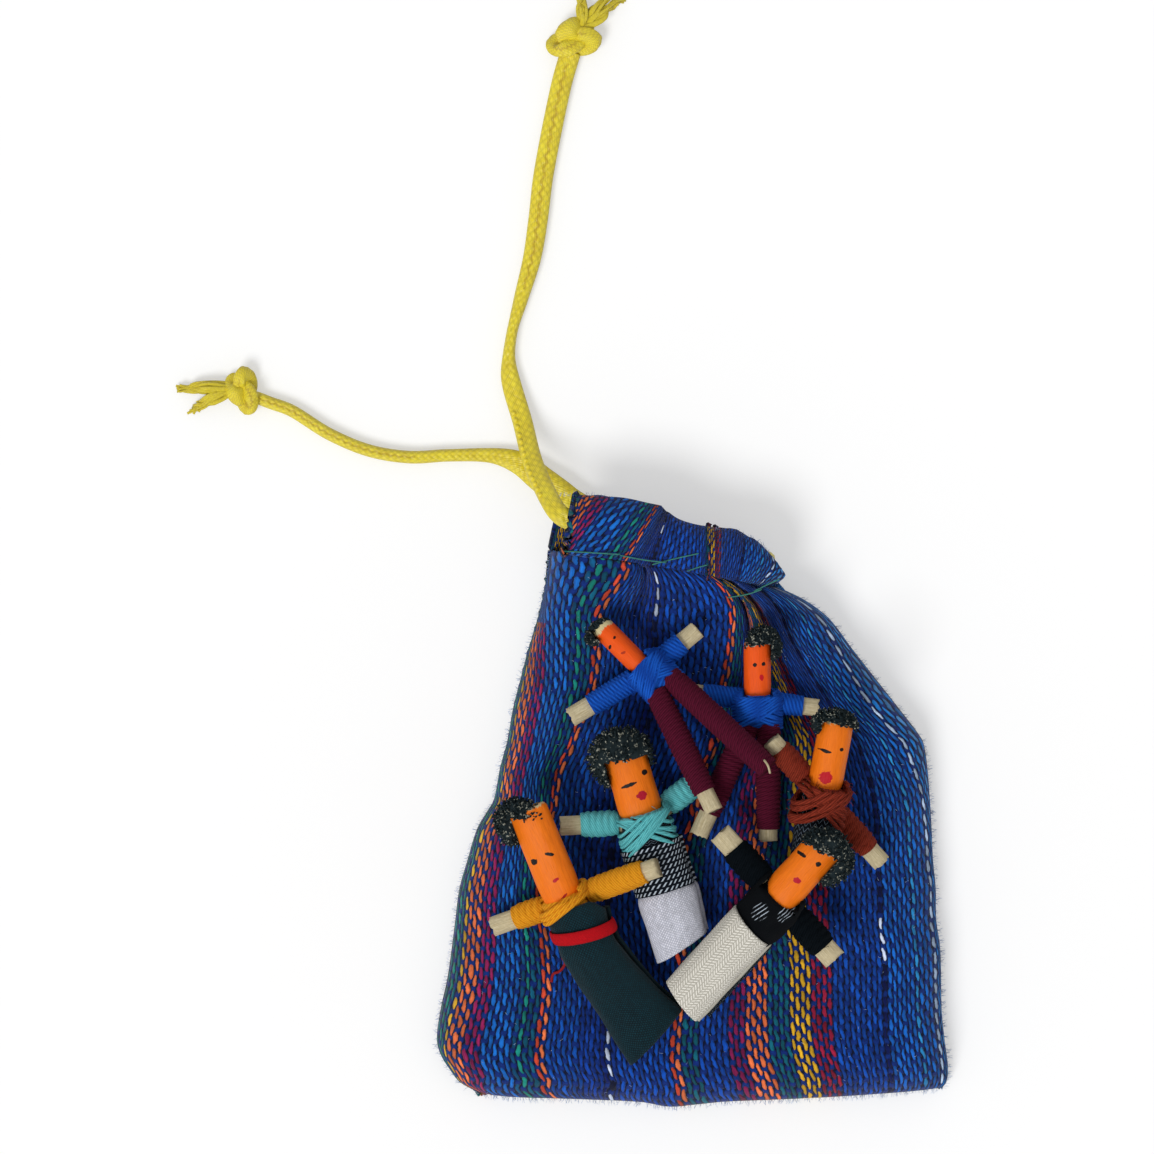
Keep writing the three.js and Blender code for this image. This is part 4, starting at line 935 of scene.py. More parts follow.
def beadedEdge(path):  # the row of small stitches along one edge of the cord
    row = cordShape["beads"]
    beads, way, due = [], 0, row["first"]
    for before, spot in zip(path, path[1:]):
        way += (spot - before).length
        if way < due or way > row["last"]:
            continue
        due += row["spacing"]
        aside = Vector((0, 0, 1)).cross(spot - before).normalized()
        bead = bmesh.new()
        bead.loops.layers.uv.new("UVMap")
        bmesh.ops.create_icosphere(bead, subdivisions=2, radius=row["radius"])
        laidUV(bead, lambda u, v, place: (1 / 14, 0))
        spot = spot + row["aside"] * aside + Vector((0, 0, row["up"]))
        beads.append(turned(bead, Matrix.Translation(spot)))
    return beads


def buildDrawstring():
    material = satin()
    bpy.data.objects["drawstring_in_casing"].material_slots[0].material = material
    for side in ("upper", "left"):
        end, name = cordEnds[side], f"drawstring_{side}"
        path = smoothPath(cordShape[side], 0.17)
        length = sum((b - a).length for a, b in zip(path, path[1:]))
        beads = beadedEdge(path) if side == "upper" else []
        body = joined(tube(path, cordSection(length, cordShape[side + "Widths"]), 30), *beads)
        cord = finished(body, name, "drawstring", "cord_satin", material, [f"cord_{side}"])
        knot = finished(knotMesh(end), name + "_knot", "drawstring", "cord_satin", material, [f"knot_{side}"])
        tuft = finished(tuftMesh(end), name + "_tuft", "drawstring", "cord_satin", material,
                        [f"frayed_end_{side}"])
    print("drawstring ready")


# The dolls. Each is made in its own frame, with the chest at its origin, y up to the head and z to the front.

ink = "#0A0503"
dolls = {
    "teal_doll": {
        "place": (-5.3, -2.5, 11.75), "turn": 16, "headUp": 5, "rightUp": 0, "seed": 3,
        "head": {"left": -2.5, "right": 2.25, "thick": 2.1, "top": 9.3, "low": -11},
        "hair": {"up": 1.4, "down": 4.9, "side": 0.95, "line": 1.9, "shift": -0.45, "tilt": 12},
        "arms": {"width": 2.1, "left": 9.2, "right": 7.2, "raised": (13, 21), "split": True},
        "sleeves": {"left": (2.9, 7), "right": (3, 6.8), "width": 2.9, "pitch": 0.72, "ridge": 0.2},
        "chest": {"half": 2.6, "top": 1.5, "bottom": 2.9},
        "marks": [(-0.6, 4.65, 1.8, 0.42, 8, ink), (1.45, 5.5, 0.7, 0.6, 20, ink),
                  (0.46, 3.2, 1.15, 1.0, 20, "#A80C28")],
    },
    "orange_doll": {
        "place": (-14, -11.1, 13.2), "turn": 22, "headUp": 10, "rightUp": 18, "seed": 11,
        "head": {"left": -2.1, "right": 2.35, "thick": 2.1, "top": 11.5, "low": -6},
        "hair": {"up": 1.2, "down": 3.9, "side": 0.35, "line": 0.9, "shift": -1.2, "tilt": 30},
        "arms": {"width": 2.1, "left": 9.1, "right": 11, "raised": (-2, 2), "split": False},
        "sleeves": {"left": (2.6, 6.3), "right": (2.6, 9.4), "width": 2.9, "pitch": 0.8, "ridge": 0.22},
        "chest": {"half": 2.5, "top": 1.7, "bottom": 1.4},
        "marks": [(-0.85, 5.8, 0.95, 0.7, 10, ink), (1.1, 6.1, 1.0, 0.4, -30, ink),
                  (0.7, 3.2, 0.8, 0.42, 12, "#B00A20"), (0.8, 1.1, 1.1, 0.25, 30, "#A01818")],
    },
    "right_trouser_doll": {
        "place": (6.9, 10.6, 11.1), "turn": 1, "headUp": 6, "rightUp": 0, "seed": 21,
        "head": {"left": -1.45, "right": 1.5, "thick": 1.6, "top": 6.6, "low": -2.4},
        "hair": {"up": 1.3, "down": 2.1, "side": 0.2, "line": 0.3, "shift": 0.65, "tilt": -26},
        "arms": {"width": 1.9, "left": 7.4, "right": 6.7, "raised": (8, -8), "split": False},
        "sleeves": {"left": (1, 6), "right": (1, 5), "width": 2.4, "pitch": 0.42, "ridge": 0.13},
        "chest": {"half": 2.5, "top": 1.4, "bottom": 2.2},
        "legs": {"width": 2, "winding": 2.8, "length": (12.9, 12.4), "trouser": (10.2, 11.1),
                 "out": (-25, -1), "up": (0, 0)},
        "marks": [(-0.27, 4.2, 0.5, 0.42, 10, ink), (0.68, 4.3, 0.5, 0.42, -8, ink),
                  (0.42, 2.85, 0.45, 0.7, 12, "#C01020")],
    },
    "left_trouser_doll": {
        "place": (-5, 14.1, 11.6), "turn": 45, "headUp": -9, "rightUp": 0, "seed": 33,
        "head": {"left": -1.55, "right": 0.95, "thick": 1.6, "top": 7.0, "low": -2.4, "bare": 0.75},
        "hair": {"up": 0.4, "down": 1.1, "side": 0.15, "line": -0.1, "shift": -0.6, "tilt": 30},
        "arms": {"width": 2.1, "left": 9.9, "right": 6.9, "raised": (14, -5), "split": True},
        "sleeves": {"left": (1.2, 7.4), "right": (1.2, 4.7), "width": 2.6, "pitch": 0.42, "ridge": 0.13},
        "chest": {"half": 2.3, "top": 1.7, "bottom": 2.2},
        "legs": {"width": 2, "winding": 2.8, "length": (14.1, 14.2), "trouser": (11.8, 14.4),
                 "out": (-19, 2), "up": (-2, 4)},
        "marks": [(-0.1, 4.85, 0.4, 0.32, 20, ink), (-1.2, 4.5, 0.5, 0.36, 20, ink),
                  (-0.6, 3.0, 0.55, 0.3, -20, "#A83010")],
    },
    "rust_doll": {
        "place": (13.8, 0.4, 13.4), "turn": -10.6, "headUp": 8, "rightUp": -11, "seed": 45,
        "head": {"left": -1.85, "right": 1.9, "thick": 2, "top": 8.5, "low": -7},
        "hair": {"up": 1.1, "down": 1.7, "side": 0.4, "line": 0.1, "shift": -0.3, "tilt": 6},
        "arms": {"width": 2.1, "left": 8.2, "right": 10.4, "raised": (38, -38), "split": False},
        "sleeves": {"left": (2.6, 6.9), "right": (2.6, 8.2), "width": 2.8, "pitch": 0.75, "ridge": 0.22},
        "chest": {"half": 2.3, "top": 1.5, "bottom": 8.6},
        "marks": [(-0.95, 5.25, 1.5, 0.38, -4, ink), (0.75, 5.7, 0.5, 0.42, 0, ink),
                  (-0.45, 2.45, 1.5, 1.4, 10, "#B80C20")],
    },
    "black_doll": {
        "place": (9, -10.7, 14.7), "turn": -41, "headUp": 12, "rightUp": 0, "seed": 57,
        "head": {"left": -2.25, "right": 2.0, "thick": 2, "top": 8.6, "low": -5.5},
        "hair": {"up": 1.4, "down": 4.2, "side": 0.8, "line": 1.0, "shift": 0.75, "tilt": -30},
        "arms": {"width": 2.6, "left": 9.5, "right": 9, "raised": (7, -7), "split": False},
        "sleeves": {"left": (2.6, 7.2), "right": (2.6, 7.2), "width": 3.4, "pitch": 0.8, "ridge": 0.22},
        "chest": {"half": 3, "top": 1.7, "bottom": 3.4},
        "marks": [(-1.45, 5.85, 1.3, 0.42, 12, ink), (0.58, 6.3, 0.65, 0.6, 0, ink),
                  (0.04, 3.45, 0.95, 0.7, 5, "#B00C28")],
    },
}
armDepth = 0.95  # the arm's middle line lies this far behind the body's flat back

sides = ((-1, "left"), (1, "right"))


def ownFrame(doll):
    turn = Matrix.Rotation(math.radians(doll["turn"]), 4, "Z")
    nod = Matrix.Rotation(math.radians(doll["headUp"]), 4, "X")
    roll = Matrix.Rotation(math.radians(-doll["rightUp"]), 4, "Y")
    return Matrix.Translation(doll["place"]) @ (turn @ nod) @ roll


def armFrame(doll, side):
    raised = doll["arms"]["raised"][side > 0]
    turn = Matrix.Rotation(side * math.radians(raised - 90), 4, "Z")
    return ownFrame(doll) @ Matrix.Translation((0, 0, -armDepth)) @ turn


def legFrame(doll, side):
    legs = doll["legs"]
    k = side > 0
    hip = Matrix.Translation((side * (legs["width"] + 0.3) / 2, doll["head"]["low"] - 0.3, 0.75))
    out = Matrix.Rotation(math.pi + math.radians(legs["out"][k]), 4, "Z")
    return ownFrame(doll) @ hip @ out @ Matrix.Rotation(math.radians(legs["up"][k]), 4, "X")


def laidUV(bm, change):
    layer = bm.loops.layers.uv.active
    for face in bm.faces:
        for loop in face.loops:
            loop[layer].uv = change(loop[layer].uv.x, loop[layer].uv.y, loop.vert.co)
    return bm


def turned(bm, matrix):
    bmesh.ops.transform(bm, matrix=matrix, verts=bm.verts)
    return bm


def headSpan(doll):  # the middle of the head stick, and half its width
    left, right = doll["head"]["left"], doll["head"]["right"]
    return (left + right) / 2, (right - left) / 2


def faceDepth(doll, x):
    middle, half = headSpan(doll)
    return doll["head"]["thick"] * math.sqrt(max(0, 1 - ((x - middle) / half) ** 2))


def headMesh(doll):
    head, seed = doll["head"], doll["seed"]
    middle, half = headSpan(doll)
    low, top, thick = head["low"] + (0.5 if "legs" in doll else 0), head["top"], head["thick"]
    neck, chin = -0.2 - half / 2, half / 2 - 0.2
    widths = [(low, 0.76), (neck, 0.95), (chin, half * 0.95), (top / 2, half), (top - 0.4, half * 0.98),
              (top, half * 0.9)]
    depths = [(low, 1.2), (neck, 1.5), (chin, thick), (top / 2, thick), (top, thick * 0.9)]

    def skin(u, v):
        y = low + (top - low) * v
        turn = math.tau * u
        facet = 1 + 0.035 * waves(3 * math.cos(turn), 3 * math.sin(turn), seed + 0.15 * y, 1.1)
        x = middle * eased(-1, 2, y) + follow(widths, y) * math.cos(turn) * facet
        rise = math.sin(turn)
        z = follow(depths, y) * rise ** 0.85 * facet if rise > 0 else 0.12 * rise
        y += eased(0.97, 1, v) * (0.45 * waves(2 * x, 2 * z, seed, 1) - 0.1)
        return Vector((x, y, z))

    bm = wrapped(44, 70, skin, closed=True)
    return laidUV(bm, lambda u, v, spot: (spot.x if spot.z > 0.04 else spot.x + 60, spot.y))


def paintedFace(doll, name, low, high):
    head = doll["head"]
    material, tree, shader = newMaterial(name, 0.5, specular=0.15)
    uv = uvOf(tree)
    strokes = speckle(tree, uv, (2.2, 0.5, 1), 3.0, 0.6)
    grain = speckle(tree, uv, (9, 0.7, 1), 2.0, 0.6)
    base = shaded(tree, mixColours(tree, strokes, low, high), 0.82, 1.14, grain)
    worn = calc(tree, "MULTIPLY_ADD", speckle(tree, uv, (2.6, 1.4, 1), 3.0, 0.7), 1.3, -0.65)
    up = calc(tree, "ADD", axes(tree, uv)[1], worn)
    edge = calc(tree, "SUBTRACT", up, head["top"] - head.get("bare", 0.25))
    bare = clamped(tree, "MULTIPLY", edge, 6)
    base = mixColours(tree, bare, base, shaded(tree, "#D8C898", 0.6, 1.2, grain))
    for x, y, long, high, turn, code in doll["marks"]:
        mark = place(tree, groups["mark"], UV=uv, X=x, Y=y, Long=long, High=high, Turn=math.radians(turn),
                     Waver=0.35)
        base = mixColours(tree, clamped(tree, "MULTIPLY", mark["Mark"], 1.8), base, code)
    painted(tree, shader, base)
    tree.links.new(calc(tree, "MULTIPLY_ADD", strokes, 0.3, 0.28), shader.inputs["Roughness"])
    raised(tree, shader, calc(tree, "ADD", grain, calc(tree, "MULTIPLY", strokes, 0.8)), 0.5, 0.12)
    return material


def hairMesh(doll):
    head, hair, seed = doll["head"], doll["hair"], doll["seed"]
    chance = random.Random(seed)
    middle, half = headSpan(doll)
    high = (hair["up"] + hair["down"]) / 2
    cap = bmesh.new()
    bmesh.ops.create_icosphere(cap, subdivisions=5, radius=1)
    tilt = math.tan(math.radians(hair["tilt"]))
    shape = (half + hair["side"], high, head["thick"] / 2 + hair["side"])
    crown = Vector((middle + hair["shift"], head["top"] + hair["up"] - high, head["thick"] / 2 - 0.15))
    tips = []
    for vert in cap.verts:
        out = vert.co.normalized()
        spot = Vector([a * b for a, b in zip(out, shape)])
        x, y, z = spot
        loops = 0.24 * abs(waves(x + seed, y, z, 0.5)) + 0.16 * waves(x, y, z + seed, 0.95)
        spot = crown + spot + out * loops
        window = head["top"] - hair["line"] - tilt * (spot.x - middle) * 0.5
        window += 0.35 * waves(spot.x * 2, seed, 0, 1)
        if spot.y < window and abs(spot.x - middle) < half + 0.1 and spot.z > 0.2:
            spot.z = min(spot.z, faceDepth(doll, spot.x) - 0.35)
        elif spot.z > 0.3:
            tips.append((spot.copy(), out))
        vert.co = spot
    bm = [cap]
    for tip, out in chance.sample(tips, min(150, len(tips))):
        side = out.cross(anyWay(chance)).normalized()
        size = chance.uniform(0.2, 0.36)
        curl = [tip + out * (size * (0.6 - math.cos(a))) + side * (size * math.sin(a))
                for a in (-2.4, -1.5, -0.6, 0.3, 1.2, 2.1)]
        bm.append(cable(curl, 0.1, 5))
    return joined(*bm)


def hairYarn():
    material, tree, shader = newMaterial("hair yarn", 0.9, specular=0.08)
    spot = spotOf(tree)
    soft = speckle(tree, spot, (900, 900, 900), 3.0, 0.6)
    fine = speckle(tree, spot, (2300, 2300, 2300), 2.0, 0.6)
    base = mixColours(tree, soft, "#030808", "#2A363A")
    specks = clamped(tree, "MULTIPLY", calc(tree, "SUBTRACT", fine, 0.59), 14)
    base = mixColours(tree, calc(tree, "MULTIPLY", specks, 0.7), base, "#B8B8A8")
    painted(tree, shader, base)
    raised(tree, shader, fine, 0.8, 0.1)
    return material


def stickMesh(start, end, halfWidth, halfThick, seed):
    def skin(u, v):
        x, z = math.cos(math.tau * u), math.sin(math.tau * u)
        split = 1 + 0.13 * waves(2.2 * x, 2.2 * z, seed + 0.05 * v, 1) + 0.05 * waves(9 * x, 9 * z, seed, 1)
        x, z = halfWidth * split * x, halfThick * split * z
        torn = eased(0.93, 1, v) * waves(2.4 * x, 2.4 * z, seed, 1)
        torn -= eased(0.07, 0, v) * waves(2 * x, 2 * z, seed, 1)
        return Vector((x, start + (end - start) * v + 0.3 * torn, z))

    bm = wrapped(26, 40, skin, closed=True)
    return laidUV(bm, lambda u, v, spot: (u * math.tau * halfWidth, v * (end - start)))


def splitWood():
    material, tree, shader = newMaterial("split wood", 0.75, specular=0.2)
    grain = place(tree, groups["grain"], UV=uvOf(tree), Around=7.0, Along=0.35)
    base = mixColours(tree, grain["Grain"], "#8E7440", "#F0E6C4")
    painted(tree, shader, shaded(tree, base, 0.8, 1.1, grain["Blotch"]))
    raised(tree, shader, grain["Grain"], 0.8, 0.12)
    return material


def windingMesh(start, end, halfWidth, halfThick, pitch, ridge, seed, lean, swell=0.12):
    turns = (end - start) / pitch

    def skin(u, v):
        turn = math.tau * u
        x, z = math.cos(turn), math.sin(turn)
        phase = v * turns + u + lean * z + 0.22 * waves(2 * x, 2 * z, v * turns * 0.6 + seed, 1)
        size = 1 - swell * (2 * v - 1) ** 4 + 0.04 * waves(x, v * 3, seed, 1)
        grow = ridge * (abs(math.sin(math.pi * phase)) ** 0.6 - 1) * eased(0, 0.04, v) * eased(1, 0.96, v)
        y = start + (end - start) * v
        return Vector(((halfWidth * size + grow) * x, y, (halfThick * size + grow) * z))

    bm = wrapped(40, max(12, round(turns * 6)), skin, closed=True)
    around = math.pi * (halfWidth + halfThick)
    return laidUV(bm, lambda u, v, spot: (v * turns + u, u * around / pitch))


def fuzzy(bm, count, seed):  # adds loose hairs to a wound yarn
    chance = random.Random(seed)
    bm.faces.ensure_lookup_table()
    bm.normal_update()
    hairs = [bm]
    for face in chance.choices(bm.faces, k=count):
        out = (face.normal + 0.8 * anyWay(chance)).normalized()
        side = out.cross(anyWay(chance)).normalized()
        size, root = 0.5 * chance.uniform(0.4, 1.2), face.calc_center_median()
        points = [root + out * (size * t) + side * (size * 0.7 * t * t) for t in (-0.2, 0.2, 0.6, 1)]
        hairs.append(cable(points, 0.035, 3))
    return joined(*hairs)


def yarn(name, low, high, rough=0.85, specular=0.12, plies=3.0, twists=1.1):
    material, tree, shader = newMaterial(name, rough, specular=specular)
    uv = uvOf(tree)
    strand = place(tree, groups["strand"], UV=uv, Plies=plies, Twists=twists, Fuzz=0.9)
    fine = speckle(tree, uv, (16, 3.5, 1), 3.0, 0.7)
    # painted shade and highlight: the yarn's colour runs from low, a shaded tone in the grooves between the
    # plies and fibres, to high, a lit tone on their crests
    base = mixColours(tree, strand["Fibre"], low, high)
    painted(tree, shader, shaded(tree, base, 0.68, 1.3, fine))
    raised(tree, shader, calc(tree, "MULTIPLY_ADD", fine, 0.5, strand["Height"]), 0.7, 0.1)
    return material


def chestSize(doll):
    deep = (doll["head"]["thick"] + 3) / 2
    return doll["chest"]["half"], deep, deep - 2.4


def tucked(doll, bm, above=0.2):  # keeps a wrap from covering the face
    head = doll["head"]
    for vert in bm.verts:
        spot = vert.co
        if spot.y > above and head["left"] - 0.1 < spot.x < head["right"] + 0.1 and spot.z > 0:
            spot.z = min(spot.z, faceDepth(doll, spot.x) - 0.3)
    return bm


def chestMesh(doll, ruffle=0.12, more=0.0):
    half, deep, middle = chestSize(doll)
    top, bottom = doll["chest"]["top"], doll["chest"]["bottom"] + more

    def skin(u, v):
        x, z = math.cos(math.tau * u), math.sin(math.tau * u)
        y = -bottom + (top + bottom) * v
        size = 1 - 0.13 * abs(2 * v - 1) ** 3
        fold = ruffle * waves(3 * x, 3 * z + doll["seed"], y * 0.6, 1)
        return Vector(((half * size + fold) * x, y, middle + (deep * size + fold) * z))

    return tucked(doll, wrapped(48, 30, skin, closed=True))


def settled(bm, level):  # presses the strands down beside the neck
    for vert in bm.verts:
        if vert.co.y > level:
            vert.co.x *= 1 - 0.1 * min(vert.co.y - level, 2)
            vert.co.y = level + (vert.co.y - level) * 0.3
    return bm


def crossedBand(doll, slant, shift, radius, lift):  # one strand slung round the chest at a slant
    half, deep, middle = chestSize(doll)
    seed = doll["seed"] + shift * 3.1 + slant
    path = []
    for k in range(73):
        x, z = math.cos(math.tau * k / 72), math.sin(math.tau * k / 72)
        stray = 0.16 * waves(x * 1.2, z * 1.2, seed, 1)
        reach = lift + radius + 0.1 * waves(x * 2, z * 2, seed + 5, 1)
        path.append(Vector(((half + reach) * x, shift + slant * x + stray, middle + (deep + reach) * z)))

    def section(turn, v):
        return radius * math.cos(turn) * 1.1, radius * math.sin(turn)

    bm = tube(path, section, 8, up=Vector((0, 1, 0)), ring=True)
    return laidUV(bm, lambda u, v, where: (u * 2, v * 2.6 * half * math.pi))


# cloth rolled round a stick; rows say how far down, how wide and deep, and its sway, slant, roll and drop
def rolledCloth(rows, length, halfWidth, halfDepth, seed, collar=0.0):
    tables = [[(row[0], (list(row) + [0, 0, 0])[k]) for row in rows] for k in range(1, 7)]
    turns, top = 1.2, rows[0][0]

    def skin(u, v):
        down = top + (1 - top) * (1 - v)
        wide, deep, sway, slant, roll, drop = [follow(table, down) for table in tables]
        turn = -math.pi / 2 + math.tau * turns * u
        x, z = math.cos(turn), math.sin(turn)
        away = 0.6 * turns * (1 - u)
        fold = 0.12 * waves(2.5 * x, 2.5 * z + seed, down * length * 0.35, 1)
        x, z = (halfWidth * wide - away + fold) * x, (halfDepth * deep - away + fold) * z
        spot = Matrix.Rotation(math.radians(roll), 3, "Y") @ Vector((x, slant * x, z))
        rise = collar * eased(-0.2, 0.6, spot.z / halfDepth) * eased(0.3, 0, down - top)
        return spot + Vector((sway * halfWidth, rise - down * length, 0.75 - drop * halfDepth))

    return wrapped(84, 40, skin)


def fineCloth(name, weft, warpCode, columns, picks, low, high):
    material, tree, shader = newMaterial(name, 0.9, sheen=0.06, specular=0.15)
    uv = uvOf(tree)
    cloth = place(tree, groups["weave"], UV=uv, Columns=columns, Picks=picks, Float_Length=0.6)
    threads = mixColours(tree, cloth["Warp"], weft, warpCode)
    base = shaded(tree, shaded(tree, threads, low, high, cloth["Variation"]), 0.8, 1.2, cloth["Fibre"])
    blotch = speckle(tree, uv, (6, 6, 1), 3.0, 0.6)
    painted(tree, shader, shaded(tree, base, 0.75, 1.15, blotch))
    raised(tree, shader, cloth["Height"], 0.5, 0.08)
    return material


def twillCloth(name, ground, dashCode, columns, picks, turn, dash, patches=(), rowed=False):
    material, tree, shader = newMaterial(name, 0.9, specular=0.1)
    uv = laid = uvOf(tree)
    if rowed:  # the floats stand in rows instead of columns
        laid = combined(tree, *reversed(axes(tree, uv)))
    cloth = place(tree, groups["twill"], UV=laid, Columns=columns, Picks=picks, Turn=turn, Dash=dash,
                  Gap=0.15 if rowed else 0.04)
    fine = speckle(tree, uv, (130, 90, 1), 3.0, 0.7)
    shown = cloth["Dash"]
    if patches:
        spots = [place(tree, groups["mark"], UV=uv, X=x, Y=y, Long=long, High=high, Waver=0.05)["Mark"]
                 for x, y, long, high in patches]
        shown = calc(tree, "MULTIPLY", shown, calc(tree, "MAXIMUM", *spots))
    base = mixColours(tree, shown, ground, dashCode)
    painted(tree, shader, shaded(tree, base, 0.6, 1.3, fine))
    raised(tree, shader, calc(tree, "MULTIPLY_ADD", fine, 0.5, cloth["Height"]), 0.6, 0.08)
    return material


def wear(bm, name, piece, slotName, material, node, where=None, **more):  # a finished piece of a doll
    return finished(bm, f"{name}_{piece}", name, slotName, material, [f"{name}_{node}"],
                    where or ownFrame(dolls[name]), **more)


def addHead(name, doll, slotName="orange_face", low="#E06808", high="#F88018"):
    face = paintedFace(doll, name + " paint", low, high)
    wear(headMesh(doll), name, "painted_head", slotName, face, "head_stick")
    wear(hairMesh(doll), name, "hair_yarn", "hair_cloth", shared["hair"], "hair")


def addArms(name, doll):
    arms, seed = doll["arms"], doll["seed"]
    half = arms["width"] / 2
    if arms["split"]:
        for side, word in sides:
            stick, arm = stickMesh(0.6, arms[word], half, 0.8, seed + side), word + "_arm"
            wear(stick, name, arm, "wood", shared["wood"], arm + "_stick", armFrame(doll, side))
    else:
        stick = stickMesh(-arms["left"], arms["right"], half, 0.8, seed)
        wear(stick, name, "arm", "wood", shared["wood"], "arm_stick", armFrame(doll, 1))


def sleeveMesh(doll, side, swell=0.14, lean=0.5):
    sleeves = doll["sleeves"]
    start, end = sleeves["right" if side > 0 else "left"]
    return windingMesh(start, end, sleeves["width"] / 2, 1.45, sleeves["pitch"], sleeves["ridge"],
                       doll["seed"] + side, lean * side, swell)


def addSleeves(name, doll, slotName, material, hairs=60):
    for side, word in sides:
        sleeve = fuzzy(sleeveMesh(doll, side), hairs, doll["seed"])
        wear(sleeve, name, word + "_sleeve_yarn", slotName, material, word + "_sleeve", armFrame(doll, side))


def addCrossedYarn(name, doll, slotName, material, strands, slant, radius=0.28, spacing=0.5, hairs=40):
    chance = random.Random(doll["seed"])
    bands = []
    for k in range(strands):
        for side in (-1, 1):
            shift = (k - (strands - 1) / 2) * spacing + chance.uniform(-0.15, 0.15)
            lean = side * (slant + chance.uniform(-0.4, 0.4))
            thick = radius * chance.uniform(0.85, 1.15)
            bands.append(crossedBand(doll, lean, shift, thick, 0.1 + 0.25 * (side > 0)))
    wrap = tucked(doll, settled(joined(*bands), 1.1), above=1.2)
    wear(fuzzy(wrap, hairs, 4), name, "crossed_yarn", slotName, material, "neck_yarn")


def buildTrouserDoll(name):
    doll = dolls[name]
    addHead(name, doll, "red_orange_face", "#E04A08", "#F86018")
    addArms(name, doll)
    inverse = ownFrame(doll).inverted()
    parts = [turned(sleeveMesh(doll, side, swell=0.06, lean=0), inverse @ armFrame(doll, side))
             for side in (-1, 1)]
    half, deep, middle = chestSize(doll)
    bottom, top = -doll["chest"]["bottom"] - 0.5, doll["chest"]["top"]
    chest = windingMesh(bottom, top, half, deep, 0.4, 0.12, doll["seed"], 0.6, swell=0.3)
    parts.append(tucked(doll, turned(chest, Matrix.Translation((0, 0, middle)))))
    for side in (-1, 1):
        for k in range(9):
            strand = crossedBand(doll, side * 1.3, (k - 4.6) * 0.34, 0.19, -0.12 + 0.1 * (side > 0))
            parts.append(tucked(doll, settled(strand, 0.7), above=0.8))
    wear(joined(*parts), name, "jumper_thread", "blue_thread", shared["blue"], "jumper")
    if name == "left_trouser_doll":
        wisp = cable(smoothPath([(7.42, 4.45, 17.2), (7.8, 3.9, 17.8), (8.06, 3.05, 17.3)], 0.2), 0.12, 6)
        finished(wisp, name + "_wisp", name, "wood", shared["wood"])
    legs = doll["legs"]
    for side, word in sides:
        k, seed, where = side > 0, doll["seed"] + 7 + side, legFrame(doll, side)
        thick, wide = legs["width"] / 2, legs["winding"] / 2
        stick = stickMesh(0, legs["length"][k], thick, thick, seed)
        wear(stick, name, word + "_leg", "wood", shared["wood"], word + "_leg_stick", where)
        wound = windingMesh(-0.4, legs["trouser"][k], wide, wide, 0.5, 0.2, seed, 0.4, swell=0.1)
        wear(wound, name, word + "_trouser_yarn", "maroon_thread", shared["maroon"], word + "_trouser_leg",
             where)
    print(name + " ready")


def buildTealDoll():
    name = "teal_doll"
    doll = dolls[name]
    addHead(name, doll)
    addArms(name, doll)
    teal = yarn("teal floss", "#168E9A", "#80E8EA", rough=0.45, specular=0.4)
    addSleeves(name, doll, "teal_yarn", teal)
    addCrossedYarn(name, doll, "teal_yarn", teal, 8, 1.9, radius=0.19, spacing=0.33)
    wear(chestMesh(doll), name, "blouse_cloth", "dark_cloth", shared["specked"], "blouse")
    checked = twillCloth("checked cloth", "#040A14", "#B8C4D0", 9.0, 36.0, 1000.0, 0.42, rowed=True)
    rows = [(0.3, 1, 1, 0), (1, 1, 1, 0.06)]
    wear(rolledCloth(rows, 7.6, 3.3, 2.15, 1), name, "checked_skirt", "checked_cloth", checked, "skirt",
         outward=False, solid=0.4)
    white = fineCloth("white tabby", "#B8BAC8", "#E4E4EC", 110.0, 70.0, 0.86, 1.1)
    rows = [(0.25, 0.85, 0.8, 0.077), (0.52, 0.86, 0.84, 0.077), (0.58, 1, 1, 0.077),
            (0.78, 0.97, 0.977, 0.077, 0.1), (1, 0.94, 0.837, 0.077, 0.35)]
    under = wear(rolledCloth(rows, 14.1, 3.25, 2.15, 2), name, "white_underskirt", "white_cloth", white,
                 "underskirt", outward=False, solid=0.4)
    print(name + " ready")


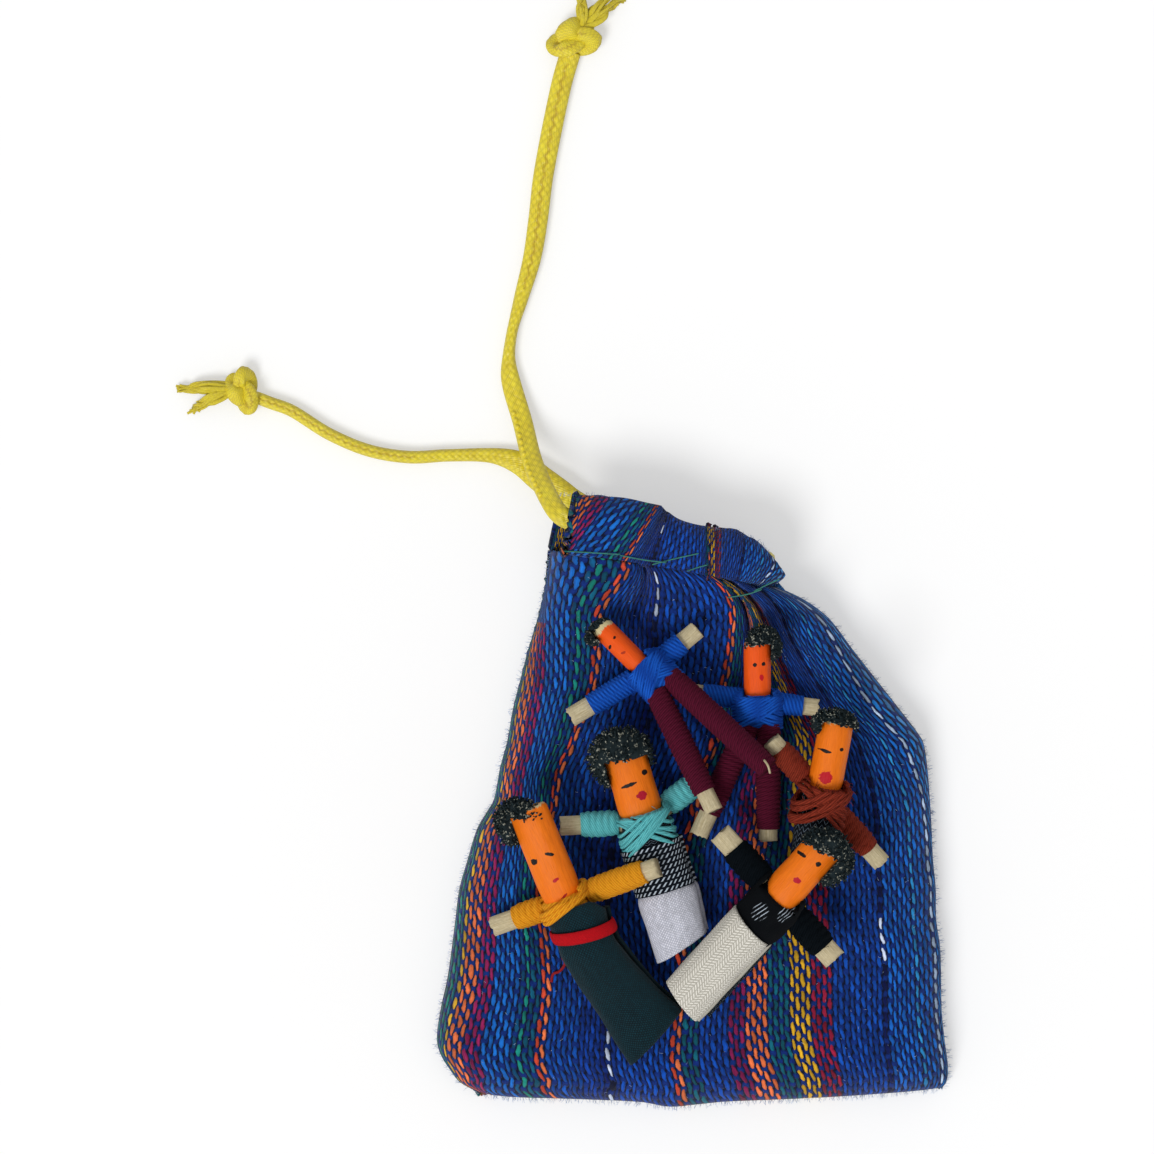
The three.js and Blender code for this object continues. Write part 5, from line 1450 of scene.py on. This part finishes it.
def buildOrangeDoll():
    name = "orange_doll"
    doll = dolls[name]
    addHead(name, doll)
    addArms(name, doll)
    orange = yarn("orange yarn", "#DC7004", "#FFBE2C")
    addSleeves(name, doll, "orange_yarn", orange, hairs=130)
    half, deep, middle = chestSize(doll)
    chest = windingMesh(-1.1, doll["chest"]["top"], half, deep, 0.8, 0.2, 4, 0.7)
    parts = [turned(chest, Matrix.Translation((0, 0, middle)))]
    for k in range(3):
        parts.append(crossedBand(doll, 0.9, (k - 0.9) * 0.5, 0.3, 0.02))
    wear(tucked(doll, joined(*parts), above=0.9), name, "collar_yarn", "orange_yarn", orange, "neck_yarn")
    green = fineCloth("dark green cloth", "#03181E", "#08303A", 120.0, 110.0, 0.8, 1.2)
    rows = [(0.108, 0.9, 1, 0.263), (0.2, 0.84, 1, 0.263), (0.341, 0.86, 1, 0.263),
            (0.739, 0.921, 0.744, 0.658, 0.2, 12, 0.465), (1, 1, 0.651, 0.974, 0.5, 18, 0.698)]
    skirt = wear(rolledCloth(rows, 17.6, 3.8, 2.15, 3, collar=1.7), name, "green_skirt", "green_cloth", green,
                 "skirt", outward=False, solid=0.4)
    red = yarn("red ribbon", "#A00814", "#DC1420", plies=30.0, twists=1.7)
    path = []
    for k in range(61):
        x, z = math.cos(math.tau * k / 60), math.sin(math.tau * k / 60)
        path.append(Vector((1 + 3.5 * x, -3.4 - 0.4 * x, 0.75 + 2.5 * z)))

    def section(turn, v):
        return 0.2 * math.cos(turn), 0.72 * math.sin(turn)

    belt = tube(path, section, 16, up=Vector((0, 1, 0)), ring=True)
    wear(laidUV(belt, lambda u, v, spot: (u, v * 20)), name, "red_belt", "red_cloth", red, "belt")
    print(name + " ready")


def buildRustDoll():
    name = "rust_doll"
    doll = dolls[name]
    addHead(name, doll)
    addArms(name, doll)
    rust = yarn("rust yarn", "#4C100A", "#A8402A")
    addSleeves(name, doll, "rust_yarn", rust, hairs=260)
    addCrossedYarn(name, doll, "rust_yarn", rust, 6, 2.2, hairs=380)
    wear(chestMesh(doll, ruffle=0.2), name, "dress_cloth", "dark_cloth", shared["specked"], "dress")
    print(name + " ready")


def buildBlackDoll():
    name = "black_doll"
    doll = dolls[name]
    addHead(name, doll)
    addArms(name, doll)
    black = yarn("black yarn", "#010306", "#0A1218", specular=0.05)
    addSleeves(name, doll, "black_yarn", black, hairs=160)
    dashed = twillCloth("dashed black cloth", "#010306", "#B8C4D0", 44.0, 4.0, 1000.0, 0.3,
                        patches=[(0.29, 0.46, 0.1, 0.36), (0.16, 0.7, 0.1, 0.34)])
    wear(chestMesh(doll, ruffle=0.25, more=1.3), name, "blouse_cloth", "dark_cloth", dashed, "blouse")
    herringbone = twillCloth("white herringbone", "#B8B4A8", "#ECE8DE", 46.0, 30.0, 2.0, 0.6)
    rows = [(0.253, 1, 1, -0.073, -0.15), (1, 0.982, 0.766, -0.145, -0.25)]
    skirt = wear(rolledCloth(rows, 15.4, 2.75, 2.35, 5), name, "white_skirt", "white_cloth", herringbone,
                 "skirt", outward=False, solid=0.4)

    def layer(u, v):
        x, y = 1 + 4.2 * (u - 0.5), -5 - 10.4 * (1 - v)
        return Vector((x, y, -1.92 + 0.08 * waves(x, y, 2, 1.5)))

    wear(wrapped(30, 60, layer), name, "skirt_lining_cloth", "dark_cloth", shared["specked"], "skirt_lining",
         outward=False, solid=0.35)
    print(name + " ready")


shared = {
    "wood": splitWood(),
    "hair": hairYarn(),
    "blue": yarn("blue thread", "#083090", "#1C6CE0", plies=1.0, twists=0.3),
    "maroon": yarn("maroon thread", "#2A0414", "#6C1434", plies=2.0, twists=0.6),
    "specked": twillCloth("specked dark cloth", "#050A12", "#8898A8", 40.0, 16.0, 1.0, 0.2),
}

buildStage()
buildPouch()
buildDrawstring()
buildTealDoll()
buildOrangeDoll()
buildTrouserDoll("right_trouser_doll")
buildTrouserDoll("left_trouser_doll")
buildRustDoll()
buildBlackDoll()
